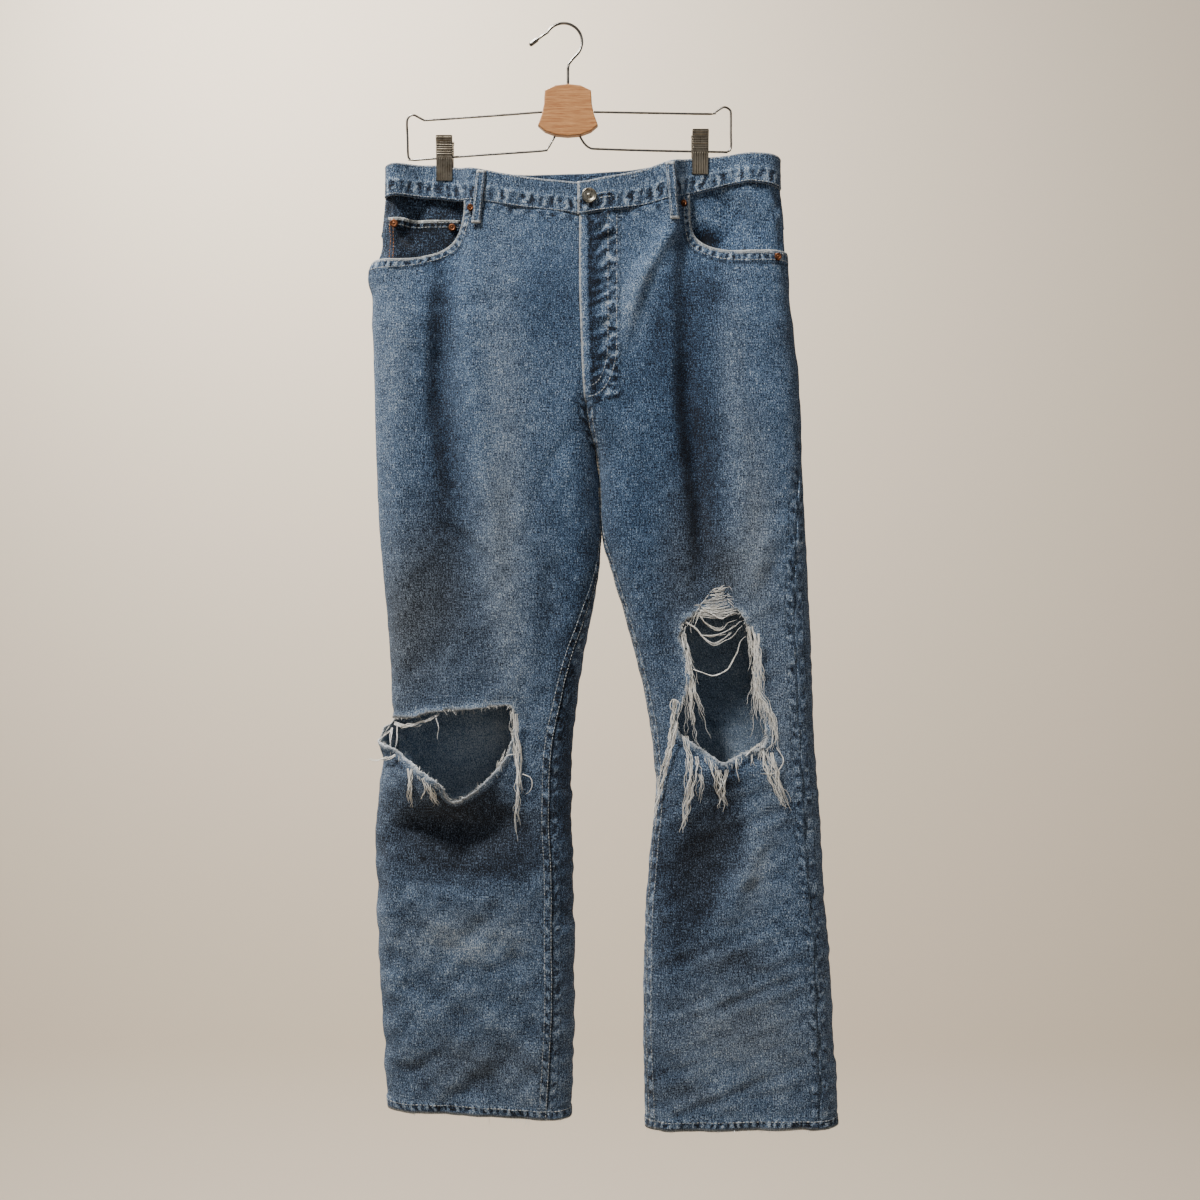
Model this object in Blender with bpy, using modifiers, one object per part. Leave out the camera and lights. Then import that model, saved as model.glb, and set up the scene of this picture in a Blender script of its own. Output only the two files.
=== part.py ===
# Ripped five-pocket jeans, hung by the waistband from a clip hanger. Metres, +Z up.
# The origin is the inside of the hook's crown, where a rod or peg carries it. The front of
# the jeans faces -Y. "Drop" is the distance below the origin. Right and left are the
# wearer's, so the right leg is at -X. Cloth sizes are those of its mid-surface.
import math
from collections import namedtuple
from functools import lru_cache, partial
from itertools import product

import bmesh
import bpy
import numpy as np
from mathutils import Vector
from mathutils.bvhtree import BVHTree

# Cloth
CLOTH = 0.0012
BAND_CLOTH = 0.0026
HEM_CLOTH = 0.0030
LOOP_CLOTH = 0.0016
SEAM_GAP = 0.0005
LAYER_GAP = 0.0006
HEM_HEIGHT = 0.012

# Where the rows of the panels begin and end, and how far their edges' slopes reach
BAND_LEVEL = 0.183
BAND_SEAM = 0.205
HEM_RIGHT = 1.247
HEM_LEFT = 1.2635
TOP_REACH = 0.12
HEM_REACH = 0.10
HEM_SLOPES = {"right": 0.012, "left": 0.002}

# Front edge of the waistband, the seam below it, and the height of the back waistband
WaistRow = namedtuple("WaistRow", "x top seam back_top back_seam")
WAIST = (
    WaistRow(-0.204, 0.1650, 0.2018, 0.1650, 0.2018),
    WaistRow(-0.165, 0.1635, 0.2020, 0.1632, 0.2010),
    WaistRow(-0.142, 0.1635, 0.2030, 0.1627, 0.2000),
    WaistRow(-0.096, 0.1720, 0.2100, 0.1650, 0.2020),
    WaistRow(-0.050, 0.1800, 0.2165, 0.1680, 0.2050),
    WaistRow(0.000, 0.1860, 0.2225, 0.1680, 0.2060),
    WaistRow(0.018, 0.1875, 0.2250, 0.1675, 0.2055),
    WaistRow(0.042, 0.1835, 0.2220, 0.1660, 0.2040),
    WaistRow(0.088, 0.1735, 0.2160, 0.1615, 0.2000),
    WaistRow(0.122, 0.1625, 0.2070, 0.1560, 0.1960),
    WaistRow(0.145, 0.1560, 0.1985, 0.1545, 0.1940),
    WaistRow(0.168, 0.1540, 0.1925, 0.1540, 0.1920),
    WaistRow(0.203, 0.1525, 0.1870, 0.1525, 0.1890),
    WaistRow(0.249, 0.1558, 0.1926, 0.1558, 0.1926),
)

# Outlines of the hanging cloth, a row for each level
Edge = namedtuple("Edge", "drop x")
CENTRE_LINE = (
    Edge(0.150, 0.0200),
    Edge(0.340, 0.0205),
    Edge(0.386, 0.0224),
    Edge(0.430, 0.0255),
    Edge(0.466, 0.0300),
    Edge(0.489, 0.0365),
    Edge(0.512, 0.0400),
    Edge(0.560, 0.0425),
    Edge(0.581, 0.0431),
)
RIGHT_OUTER = (
    Edge(0.150, -0.2035),
    Edge(0.205, -0.2046),
    Edge(0.240, -0.2080),
    Edge(0.270, -0.2115),
    Edge(0.281, -0.2190),
    Edge(0.317, -0.2191),
    Edge(0.409, -0.2168),
    Edge(0.501, -0.2145),
    Edge(0.593, -0.2099),
    Edge(0.685, -0.2018),
    Edge(0.777, -0.1961),
    Edge(0.798, -0.1961),
    Edge(0.822, -0.2100),
    Edge(0.846, -0.2070),
    Edge(0.869, -0.2095),
    Edge(0.915, -0.2145),
    Edge(1.007, -0.2133),
    Edge(1.099, -0.2099),
    Edge(1.191, -0.2041),
    Edge(1.270, -0.1990),
)
RIGHT_INNER = (
    Edge(0.638, 0.0397),
    Edge(0.666, 0.0351),
    Edge(0.703, 0.0282),
    Edge(0.737, 0.0213),
    Edge(0.784, 0.0155),
    Edge(0.823, 0.0109),
    Edge(0.915, 0.0098),
    Edge(1.007, 0.0121),
    Edge(1.191, 0.0115),
    Edge(1.270, 0.0080),
)
LEFT_OUTER = (
    Edge(0.150, 0.2485),
    Edge(0.193, 0.2490),
    Edge(0.219, 0.2524),
    Edge(0.265, 0.2550),
    Edge(0.317, 0.2593),
    Edge(0.409, 0.2697),
    Edge(0.524, 0.2743),
    Edge(0.616, 0.2789),
    Edge(0.708, 0.2835),
    Edge(0.800, 0.2869),
    Edge(0.892, 0.2927),
    Edge(0.984, 0.2984),
    Edge(1.076, 0.3053),
    Edge(1.168, 0.3099),
    Edge(1.237, 0.3134),
    Edge(1.280, 0.3125),
)
LEFT_INNER = (
    Edge(0.616, 0.0512),
    Edge(0.656, 0.0627),
    Edge(0.708, 0.0776),
    Edge(0.754, 0.0891),
    Edge(0.800, 0.0983),
    Edge(0.846, 0.1041),
    Edge(0.880, 0.1064),
    Edge(0.915, 0.1029),
    Edge(0.984, 0.0960),
    Edge(1.076, 0.0926),
    Edge(1.168, 0.0914),
    Edge(1.280, 0.0945),
)

# How far each face bulges from the hanging plane, how round the folded edges are, and how
# much of the bulge is still open between the two legs
Depth = namedtuple("Depth", "drop front back turn open")
DEPTHS = (
    Depth(0.150, 0.019, 0.012, 0.018, 0.98),
    Depth(0.220, 0.020, 0.014, 0.022, 0.98),
    Depth(0.300, 0.025, 0.020, 0.028, 0.98),
    Depth(0.400, 0.029, 0.024, 0.030, 0.94),
    Depth(0.450, 0.029, 0.025, 0.030, 0.72),
    Depth(0.480, 0.028, 0.025, 0.030, 0.40),
    Depth(0.500, 0.028, 0.025, 0.030, 0.05),
    Depth(0.530, 0.028, 0.025, 0.030, 0.01),
    Depth(0.650, 0.027, 0.025, 0.030, 0.01),
    Depth(0.780, 0.026, 0.024, 0.028, 0.01),
    Depth(0.900, 0.026, 0.023, 0.028, 0.01),
    Depth(1.050, 0.027, 0.022, 0.030, 0.01),
    Depth(1.280, 0.022, 0.021, 0.028, 0.01),
)

# Distance of each leg's seams from its folded edges, positive on the front
Seam = namedtuple("Seam", "drop out inn")
RIGHT_SEAMS = (
    Seam(0.150, 0.000, 0.000),
    Seam(0.290, 0.000, 0.000),
    Seam(0.420, -0.012, 0.000),
    Seam(0.600, -0.020, 0.002),
    Seam(0.700, -0.024, 0.022),
    Seam(0.800, -0.026, 0.034),
    Seam(1.000, -0.028, 0.038),
    Seam(1.280, -0.028, 0.038),
)
LEFT_SEAMS = (
    Seam(0.150, 0.000, 0.000),
    Seam(0.420, 0.000, 0.000),
    Seam(0.540, 0.020, 0.000),
    Seam(0.620, 0.030, 0.006),
    Seam(0.850, 0.034, 0.010),
    Seam(1.280, 0.034, 0.012),
)

# Folds pressed into the cloth: a spine of (x, drop) points, half width and height, where a
# positive height stands out of the cloth
Fold = namedtuple("Fold", "leg face width height spine")
FOLDS = (
    Fold("right", "front", 0.017, -0.009, ((-0.135, 0.27), (-0.139, 0.44), (-0.122, 0.55), (-0.105, 0.66))),
    Fold("right", "front", 0.012, 0.005, ((-0.111, 0.32), (-0.099, 0.44), (-0.082, 0.55), (-0.058, 0.77))),
    Fold("right", "front", 0.014, 0.004, ((-0.184, 0.32), (-0.184, 0.74))),
    Fold("right", "back", 0.018, -0.006, ((-0.125, 0.26), (-0.120, 0.45), (-0.090, 0.60))),
    Fold("right", "back", 0.016, 0.004, ((-0.060, 0.40), (-0.075, 0.75))),
    Fold("left", "front", 0.011, 0.005, ((0.128, 0.24), (0.110, 0.26), (0.087, 0.29), (0.067, 0.34))),
    Fold("left", "front", 0.018, -0.008, ((0.141, 0.26), (0.144, 0.44), (0.161, 0.55), (0.161, 0.66))),
    Fold("left", "front", 0.012, 0.004, ((0.185, 0.34), (0.200, 0.45), (0.205, 0.60))),
    Fold("left", "front", 0.012, 0.007, ((0.225, 0.93), (0.205, 0.97), (0.178, 1.03))),
    Fold("left", "back", 0.018, -0.006, ((0.150, 0.26), (0.165, 0.45), (0.175, 0.62))),
    Fold("left", "back", 0.016, 0.004, ((0.240, 0.50), (0.235, 0.80))),
)

# Broad swellings and hollows of the cloth around the torn knees
Mound = namedtuple("Mound", "leg face x drop half_width half_drop height")
MOUNDS = (
    Mound("right", "front", -0.135, 0.862, 0.050, 0.034, 0.030),
    Mound("right", "front", -0.125, 0.918, 0.075, 0.020, -0.012),
    Mound("right", "front", -0.120, 1.010, 0.080, 0.050, 0.009),
    Mound("right", "back", -0.110, 0.880, 0.080, 0.060, -0.006),
    Mound("left", "front", 0.180, 0.860, 0.050, 0.022, 0.010),
    Mound("left", "front", 0.150, 0.970, 0.034, 0.050, -0.011),
    Mound("left", "front", 0.200, 1.090, 0.070, 0.060, 0.005),
    Mound("left", "back", 0.190, 0.880, 0.080, 0.060, -0.006),
)

# Where the hanger's clips pinch both waistbands together
Clip = namedtuple("Clip", "name x wire_drop outward")
CLIPS = (
    Clip("right", -0.1363, 0.1532, -1),
    Clip("left", 0.1570, 0.1461, 1),
)
PINCH_HALF = 0.0026
PINCH_INNER_WIDTH = 0.026
PINCH_OUTER_WIDTH = 0.045
PINCH_FROM = 0.215
PINCH_TO = 0.340

# Torn openings of the knees, as (x, drop) outlines that run past the folded edge where the
# tear reaches it
RIGHT_TEAR = (
    (-0.260, 0.795), (-0.194, 0.7965), (-0.170, 0.7953), (-0.148, 0.7886), (-0.111, 0.7863),
    (-0.077, 0.7829), (-0.0586, 0.7829), (-0.055, 0.806), (-0.060, 0.826), (-0.069, 0.845),
    (-0.086, 0.863), (-0.108, 0.881), (-0.1245, 0.884), (-0.133, 0.867), (-0.152, 0.854),
    (-0.1745, 0.840), (-0.197, 0.826), (-0.260, 0.814),
)
LEFT_TEAR = (
    (0.136, 0.690), (0.144, 0.682), (0.160, 0.674), (0.195, 0.674), (0.203, 0.681),
    (0.209, 0.694), (0.218, 0.707), (0.216, 0.752), (0.223, 0.775), (0.228, 0.822),
    (0.206, 0.834), (0.195, 0.839), (0.180, 0.846), (0.169, 0.839), (0.155, 0.829),
    (0.132, 0.812), (0.130, 0.792), (0.137, 0.777), (0.144, 0.755), (0.141, 0.730),
    (0.136, 0.716), (0.1335, 0.702),
)

# Front pocket mouths: a superellipse from the waist seam round to the side seam
Mouth = namedtuple("Mouth", "leg corner_x top side_x side_drop squareness")
MOUTHS = (
    Mouth("right", -0.1110, 0.205, -0.2200, 0.2765, 2.8),
    Mouth("left", 0.1440, 0.197, 0.2560, 0.2660, 4.2),
)
FACING_BELOW = 0.022
FACING_BEYOND = 0.016
POCKET_GAPE = 0.006
KEEP_TOP = 0.1
COIN_ABOVE = 0.004
COIN_TOP = 0.225
COIN_OUTER = -0.2020
COIN_INNER = -0.1210

# Belt loops: front ones are seen, the ones behind stand in the usual places
Loop = namedtuple("Loop", "name leg face top_x bottom_x bottom_drop proud")
LOOPS = (
    Loop("belt_loop_front_right", "right", "front", -0.0925, -0.0985, 0.2350, 0.0015),
    Loop("belt_loop_front_left", "left", "front", 0.1215, 0.1270, 0.2300, 0.0030),
    Loop("belt_loop_back_right", "right", "back", -0.1000, -0.1000, 0.2200, 0.0015),
    Loop("belt_loop_back_centre", "right", "back", 0.0120, 0.0120, 0.2230, 0.0015),
    Loop("belt_loop_back_left", "left", "back", 0.1250, 0.1250, 0.2150, 0.0015),
)
LOOP_WIDTH = 0.0105
LOOP_GAP = 0.0006
LOOP_BELOW_TOP = 0.0025
LOOP_ROWS = 8

# Back: yokes and patch pockets
YOKE_SIDE = 0.042
YOKE_CENTRE = 0.075
YOKE_LEVEL = 0.25
YOKE_ROWS = 4
BACK_POCKET_WIDTH = 0.150
BACK_POCKET_HEIGHT = 0.155
BACK_POCKET_TOP = 0.285
BACK_POCKET_POINT = 0.024
BACK_POCKET_TAPER = 0.88
BACK_POCKET_ROWS = 6

# Fly and waistband overlap
OVERLAP_X = 0.0165
OVERLAP_LENGTH = 0.036
OVERLAP_EASE = 0.05
FLY_SHIELD = (0.0040, 0.0640)
FLY_SHIELD_END = 0.400
FLY_SHIELD_ROWS = 6
BUTTON_X = 0.0300
BUTTON_DROP = 0.2045
BUTTON_RADIUS = 0.0086

# Rivets: where each sits, and the layer that carries it
Rivet = namedtuple("Rivet", "name layer x drop")
RIVETS = (
    Rivet("rivet_mouth_right", "front_panel_right", -0.1045, 0.2165),
    Rivet("rivet_coin_outer", "coin_pocket", -0.1930, 0.2330),
    Rivet("rivet_coin_inner", "coin_pocket", -0.1275, 0.2340),
    Rivet("rivet_mouth_left", "front_panel_left", 0.1370, 0.2090),
    Rivet("rivet_side_left", "front_panel_left", 0.2430, 0.2730),
)
RIVET_RADIUS = 0.0047
RIVET_HEIGHT = 0.0016
RIVET_GAP = 0.0005

# Hanging bundles of torn yarns: the (x, drop) where each starts, bends and ends, its radius
# where it starts, and how far it is lifted off the cloth
Fringe = namedtuple("Fringe", "leg number start bend end radius lift")
FRINGES = (
    Fringe("right", 1, (-0.188, 0.836), (-0.205, 0.846), (-0.226, 0.842), 0.0022, 0.0010),
    Fringe("right", 2, (-0.169, 0.850), (-0.169, 0.872), (-0.168, 0.896), 0.0028, 0.0005),
    Fringe("right", 3, (-0.150, 0.862), (-0.144, 0.878), (-0.140, 0.892), 0.0032, 0.0005),
    Fringe("right", 4, (-0.053, 0.790), (-0.050, 0.850), (-0.050, 0.926), 0.0042, 0.0005),
    Fringe("left", 1, (0.129, 0.800), (0.116, 0.855), (0.100, 0.922), 0.0040, 0.0005),
    Fringe("left", 2, (0.146, 0.836), (0.142, 0.870), (0.135, 0.922), 0.0050, 0.0005),
    Fringe("left", 3, (0.179, 0.852), (0.180, 0.875), (0.183, 0.898), 0.0060, 0.0005),
    Fringe("left", 4, (0.233, 0.834), (0.241, 0.862), (0.250, 0.896), 0.0048, -0.0002),
    Fringe("left", 5, (0.226, 0.700), (0.230, 0.735), (0.233, 0.765), 0.0044, 0.0005),
)
FRINGE_EDGE = 0.005
FRINGE_POINTS = 8
FRINGE_TAPER = 0.7

# Hanger
HOOK_WIRE = 0.0016
HOOK_RADIUS = 0.0214
HOOK_SWEEP = (150, -38)
HOOK_TIP = ((-0.0300, 0.0170), (-0.0235, 0.0122))
HOOK_NECK = ((0.0100, 0.0400), (0.0060, 0.0455), (0.0052, 0.0500), (0.0052, 0.0600), (0.0052, 0.0689))
STEM_X = 0.0052
FRAME_WIRE = 0.0013
PLATE_THICKNESS = 0.0090
PLATE_EDGE = 0.0012
SLEEVE_LENGTH = 0.0110
SLEEVE_RADIUS = 0.0026
SLEEVE_GAP = 0.0003
PLATE_OUTLINE = (
    (0.0000, 0.0696), (0.0145, 0.0712), (0.0265, 0.0770), (0.0272, 0.0850), (0.0275, 0.0926),
    (0.0299, 0.1041), (0.0345, 0.1167), (0.0265, 0.1236), (0.0138, 0.1282), (0.0000, 0.1294),
)
FRAME_RIGHT = (
    (-0.0245, 0.1006), (-0.0850, 0.1052), (-0.1535, 0.1098), (-0.1604, 0.1098), (-0.1673, 0.1064),
    (-0.1719, 0.1041), (-0.1765, 0.1052), (-0.1800, 0.1110), (-0.1794, 0.1300), (-0.1788, 0.1501),
    (-0.1765, 0.1547), (-0.1710, 0.1558), (-0.1000, 0.1505), (-0.0270, 0.1455), (-0.0190, 0.1432),
    (-0.0144, 0.1363), (-0.0100, 0.1287),
)
FRAME_LEFT = (
    (0.0349, 0.1006), (0.1000, 0.1018), (0.1685, 0.1029), (0.1731, 0.1018), (0.1800, 0.0972),
    (0.1857, 0.0949), (0.1915, 0.0983), (0.1926, 0.1041), (0.1926, 0.1250), (0.1926, 0.1420),
    (0.1880, 0.1463), (0.1800, 0.1466), (0.1000, 0.1450), (0.0420, 0.1432), (0.0305, 0.1420),
    (0.0236, 0.1363), (0.0190, 0.1287),
)
JAW_WIDTH = 0.0190
JAW_PLATE = 0.0014
JAW_BELOW = 0.0285
JAW_ABOVE = 0.0225
JAW_TIP = 0.0055
JAW_PIVOT = 0.0062
JAW_TOP = 0.0095
JAW_BEND = 0.0105
RIBS = 5
RIB_PITCH = 0.0036
RIB_HEIGHT = 0.0009
SPRING_RADIUS = 0.0058
SPRING_BORE = 0.0021
SPRING_LENGTH = 0.0090

# Grid sizes of the cloth pieces
FRONT_COLUMNS = 14
BACK_COLUMNS = 10
BAND_STATIONS = 64
TURN_POINTS = 13
FACE_POINTS = 60
SEAM_COLUMN = 0.0035
COARSE_STEP = 0.048
KNEE_STEP = 0.022
KNEE = (0.775, 0.960)
FACING_ROWS = 4
GAPE_ROWS = (0.0, 1.0, 0.2, 0.0)
GAPE_COLUMNS = 10

# How far the cutting prisms reach in front of the hanging plane and behind it
CUT_DEPTH = 0.15
CUT_BEHIND = 0.05
CUT_BEYOND = 0.06
TEAR_REAR = {"right": 0.05, "left": 0.0}

Look = namedtuple("Look", "colour roughness metallic")
LOOKS = {
    "denim": Look((0.115, 0.165, 0.250), 0.95, 0.0),
    "pocket_denim": Look((0.070, 0.100, 0.160), 0.95, 0.0),
    "yarn": Look((0.620, 0.600, 0.560), 0.95, 0.0),
    "copper": Look((0.290, 0.130, 0.060), 0.45, 1.0),
    "nickel": Look((0.420, 0.410, 0.380), 0.35, 1.0),
    "steel": Look((0.110, 0.105, 0.100), 0.35, 1.0),
    "wood": Look((0.560, 0.360, 0.190), 0.55, 0.0),
}

OUTERS = {"right": RIGHT_OUTER, "left": LEFT_OUTER}
INNERS = {"right": CENTRE_LINE + RIGHT_INNER, "left": CENTRE_LINE + LEFT_INNER}
SEAMS = {"right": RIGHT_SEAMS, "left": LEFT_SEAMS}
HEMS = {"right": HEM_RIGHT, "left": HEM_LEFT}
FACE_SIGN = {"front": -1.0, "back": 1.0}

# Every sheet of cloth made so far, so that small pieces can be seated on it
SHEETS = {}


def column(table, name):
    return np.array([getattr(row, name) for row in table])


def smooth(knots, values, at):
    """A cubic through every row of a table, with the slopes of its neighbours."""
    slopes = np.gradient(values, knots)
    at = np.clip(at, knots[0], knots[-1])
    i = np.clip(np.searchsorted(knots, at) - 1, 0, len(knots) - 2)
    span = knots[i + 1] - knots[i]
    t = (at - knots[i]) / span
    rise = values[i + 1] - values[i]
    start = span * slopes[i]
    end = span * slopes[i + 1]
    return values[i] + t * start + t * t * (3 * rise - 2 * start - end) + t ** 3 * (start + end - 2 * rise)


def read(table, name, drop):
    """One column of a table at a drop."""
    return float(smooth(column(table, "drop"), column(table, name), drop))


def waist(name, x):
    """One column of the waist table at an x."""
    return float(smooth(column(WAIST, "x"), column(WAIST, name), x))


def ease(value, start, end):
    """0 before start, 1 past end, and a smooth step between."""
    t = min(max((value - start) / (end - start), 0.0), 1.0)
    return t * t * (3 - 2 * t)


def depth(face, x, drop):
    """Bulge of a face, pinched flat where the clips hold the waistband."""
    full = read(DEPTHS, face, drop)
    strength = (1 - PINCH_HALF / full) * (1 - ease(drop, PINCH_FROM, PINCH_TO))
    hold = 0.0
    for clip in CLIPS:
        outward = (x - clip.x) * clip.outward
        width = PINCH_OUTER_WIDTH if outward > 0 else PINCH_INNER_WIDTH
        hold = max(hold, math.exp(-(outward / width) ** 4))
    return full * (1 - strength * hold)


def distance_to_spine(x, drop, spine):
    """Distance to a fold's spine, and how far along it the nearest point is, 0 to 1."""
    best = (1e9, 0.0)
    for k, ((x0, d0), (x1, d1)) in enumerate(zip(spine, spine[1:])):
        length = math.hypot(x1 - x0, d1 - d0)
        t = ((x - x0) * (x1 - x0) + (drop - d0) * (d1 - d0)) / length ** 2
        t = min(max(t, 0.0), 1.0)
        gap = math.hypot(x - x0 - t * (x1 - x0), drop - d0 - t * (d1 - d0))
        best = min(best, (gap, (k + t) / (len(spine) - 1)))
    return best


def relief(leg, face, x, drop):
    """Height of the folds and swellings at a point of a face."""
    total = 0.0
    for fold in FOLDS:
        if (fold.leg, fold.face) == (leg, face):
            gap, along = distance_to_spine(x, drop, fold.spine)
            fade = math.sin(math.pi * min(max(along, 0.02), 0.98)) ** 0.5
            total += fold.height * fade * math.exp(-(gap / fold.width) ** 2)
    for mound in MOUNDS:
        if (mound.leg, mound.face) == (leg, face):
            reach = ((x - mound.x) / mound.half_width) ** 2 + ((drop - mound.drop) / mound.half_drop) ** 2
            total += mound.height * math.exp(-reach)
    return total


@lru_cache(maxsize=None)
def face_curve(leg, face, drop):
    """Points (x, y) across one face of a leg or of its half of the body, from the outer
    folded edge to the inner one, or to the centre seam above the crotch."""
    outer = read(OUTERS[leg], "x", drop)
    inner = read(INNERS[leg], "x", drop)
    share = read(DEPTHS, "open", drop)
    side = math.copysign(1.0, outer - inner)
    inner += side * (SEAM_GAP / 2 + CLOTH / 2 * (1 - share))
    width = abs(outer - inner)
    turn = read(DEPTHS, "turn", drop)
    stop = math.asin(share)
    points = []
    for a in np.linspace(0, math.pi / 2, TURN_POINTS):
        points.append((turn * (1 - math.cos(a)), math.sin(a)))
    for x in np.linspace(turn, width - turn * math.cos(stop), FACE_POINTS)[1:]:
        points.append((x, 1.0))
    for a in np.linspace(math.pi / 2, stop, TURN_POINTS)[1:]:
        points.append((width - turn * (math.cos(stop) - math.cos(a)), math.sin(a)))
    curve = []
    for reach, height in points:
        x = outer - side * reach
        y = depth(face, x, drop) * height + relief(leg, face, x, drop) * height ** 2
        curve.append((x, FACE_SIGN[face] * y))
    return np.array(curve)


@lru_cache(maxsize=None)
def ring(leg, drop):
    """The whole section of a leg, front first, with the distance along it."""
    front = face_curve(leg, "front", drop)
    back = face_curve(leg, "back", drop)[::-1]
    points = np.vstack([front, back])
    steps = np.hypot(*np.diff(points, axis=0).T)
    along = np.concatenate([[0.0], np.cumsum(steps)])
    return points, along, along[len(front) - 1], along[len(front)]


def on_ring(leg, drop, distances):
    """Points at these distances around a section, which may run past its start or end."""
    points, along, _, _ = ring(leg, drop)
    x = np.interp(distances, along, points[:, 0], period=along[-1])
    y = np.interp(distances, along, points[:, 1], period=along[-1])
    return np.stack([x, y], axis=1)


def panel_span(leg, face, drop):
    """Where a panel begins and ends around the section, seam gaps left out."""
    _, along, front_end, back_start = ring(leg, drop)
    out = read(SEAMS[leg], "out", drop)
    inn = max(read(SEAMS[leg], "inn", drop), 0.0)
    if face == "front":
        return out + SEAM_GAP / 2, front_end - inn - SEAM_GAP / 2
    start = back_start if inn <= 0 else front_end - inn
    return start + SEAM_GAP / 2, along[-1] + out - SEAM_GAP / 2


def front_top(x):
    return waist("seam", x) + SEAM_GAP


def back_top(x):
    return waist("back_seam", x) + SEAM_GAP


def yoke_seam(leg, x):
    """The yoke is short at the side seam and runs down to a point at the centre back."""
    outer = read(OUTERS[leg], "x", YOKE_LEVEL)
    inner = read(INNERS[leg], "x", YOKE_LEVEL)
    share = (outer - x) / (outer - inner)
    return waist("back_seam", x) + YOKE_SIDE + (YOKE_CENTRE - YOKE_SIDE) * share


def hem_line(leg, x):
    """The hems hang a little lower towards the inside of the legs."""
    outer = read(OUTERS[leg], "x", HEMS[leg])
    inner = read(INNERS[leg], "x", HEMS[leg])
    share = (outer - x) / (outer - inner)
    return HEMS[leg] + HEM_SLOPES[leg] * (share - 0.5)


def levels(top, bottom):
    """Rows from top to bottom, closer together at the torn knees and at the hem."""
    rows = [top]
    while rows[-1] < bottom - HEM_HEIGHT:
        step = KNEE_STEP if KNEE[0] < rows[-1] < KNEE[1] else COARSE_STEP
        rows.append(rows[-1] + step)
    return rows[:-1] + [bottom - HEM_HEIGHT, bottom]


def stations(start, end, columns):
    """Even stations across a panel, with one more close to each seam so both sides of the
    seam keep the same slope."""
    inner = np.linspace(start, end, columns + 1)[1:-1]
    return np.concatenate([[start, start + SEAM_COLUMN], inner, [end - SEAM_COLUMN, end]])


def panel_rows(leg, face, rows, top, bottom, columns):
    """A grid of points over a panel. Its first and last rows follow the top and bottom
    lines, and the rows near them bend the same way."""
    grid = []
    for level in rows:
        start, end = panel_span(leg, face, level)
        points = []
        for x, y in on_ring(leg, level, stations(start, end, columns)):
            lift = (top(x) - rows[0]) * (1 - ease(level, rows[0], rows[0] + TOP_REACH))
            sag = (bottom(x) - rows[-1]) * ease(level, rows[-1] - HEM_REACH, rows[-1])
            points.append(Vector((x, y, -(level + lift + sag))))
        grid.append(points)
    return grid


def material(name):
    found = bpy.data.materials.get(name)
    if found:
        return found
    look = LOOKS[name]
    made = bpy.data.materials.new(name)
    made.use_nodes = True
    shader = made.node_tree.nodes["Principled BSDF"]
    shader.inputs["Base Color"].default_value = (*look.colour, 1.0)
    shader.inputs["Roughness"].default_value = look.roughness
    shader.inputs["Metallic"].default_value = look.metallic
    made.diffuse_color = (*look.colour, 1.0)
    return made


def add(name, data, look, collection="ripped_jeans"):
    """Puts a mesh or curve in the scene as a named object."""
    made = bpy.data.objects.new(name, data)
    bpy.data.collections[collection].objects.link(made)
    if look:
        data.materials.append(material(look))
    return made


def loft(name, grid, wall, look, hem_rows=0):
    """A sheet of cloth through rows of points, given its thickness by Solidify."""
    across = len(grid[0])
    mesh = bpy.data.meshes.new(name)
    faces = []
    for r in range(len(grid) - 1):
        for c in range(across - 1):
            k = r * across + c
            faces.append((k, k + 1, k + across + 1))
            faces.append((k, k + across + 1, k + across))
    mesh.from_pydata([point for row in grid for point in row], [], faces)
    SHEETS[name] = (BVHTree.FromPolygons([point for row in grid for point in row], faces), wall / 2)
    made = add(name, mesh, look)
    solid = made.modifiers.new("cloth", "SOLIDIFY")
    solid.thickness = wall
    solid.offset = 0.0
    solid.use_even_offset = True
    if hem_rows:
        group = made.vertex_groups.new(name="hem")
        first = (len(grid) - hem_rows) * across
        group.add(list(range(first, len(grid) * across)), 1.0, "REPLACE")
        solid.vertex_group = "hem"
        solid.thickness_vertex_group = CLOTH / HEM_CLOTH
        solid.thickness = HEM_CLOTH
    return made


def moved_out(grid, distance):
    """The same grid of points, each moved along the sheet's normal, away from the hanging
    plane where the distance is above 0. The distance may be a grid of its own."""
    rows = len(grid)
    across = len(grid[0])
    spread = np.broadcast_to(distance, (rows, across))
    middle = grid[rows // 2][across // 2]
    rightward = grid[rows // 2][across // 2 + 1] - middle
    downward = grid[rows // 2 + 1][across // 2] - middle
    outward = math.copysign(1.0, rightward.cross(downward).y * middle.y)
    result = []
    for r in range(rows):
        row = []
        for c in range(across):
            right = grid[r][min(c + 1, across - 1)] - grid[r][max(c - 1, 0)]
            down = grid[min(r + 1, rows - 1)][c] - grid[max(r - 1, 0)][c]
            normal = right.cross(down).normalized()
            row.append(grid[r][c] + normal * outward * float(spread[r][c]))
        result.append(row)
    return result


def prism(name, outline, front, rear):
    """A prism along Y with this (x, drop) outline."""
    shape = bmesh.new()
    corners = [shape.verts.new((x, front, -drop)) for x, drop in outline]
    face = shape.faces.new(corners)
    pushed = bmesh.ops.extrude_face_region(shape, geom=[face])
    moved = [item for item in pushed["geom"] if isinstance(item, bmesh.types.BMVert)]
    bmesh.ops.translate(shape, verts=moved, vec=(0, rear - front, 0))
    bmesh.ops.recalc_face_normals(shape, faces=shape.faces)
    mesh = bpy.data.meshes.new(name)
    shape.to_mesh(mesh)
    shape.free()
    cutter = add(name, mesh, None, "cutters")
    cutter.hide_render = True
    cutter.display_type = "WIRE"
    return cutter


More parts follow.
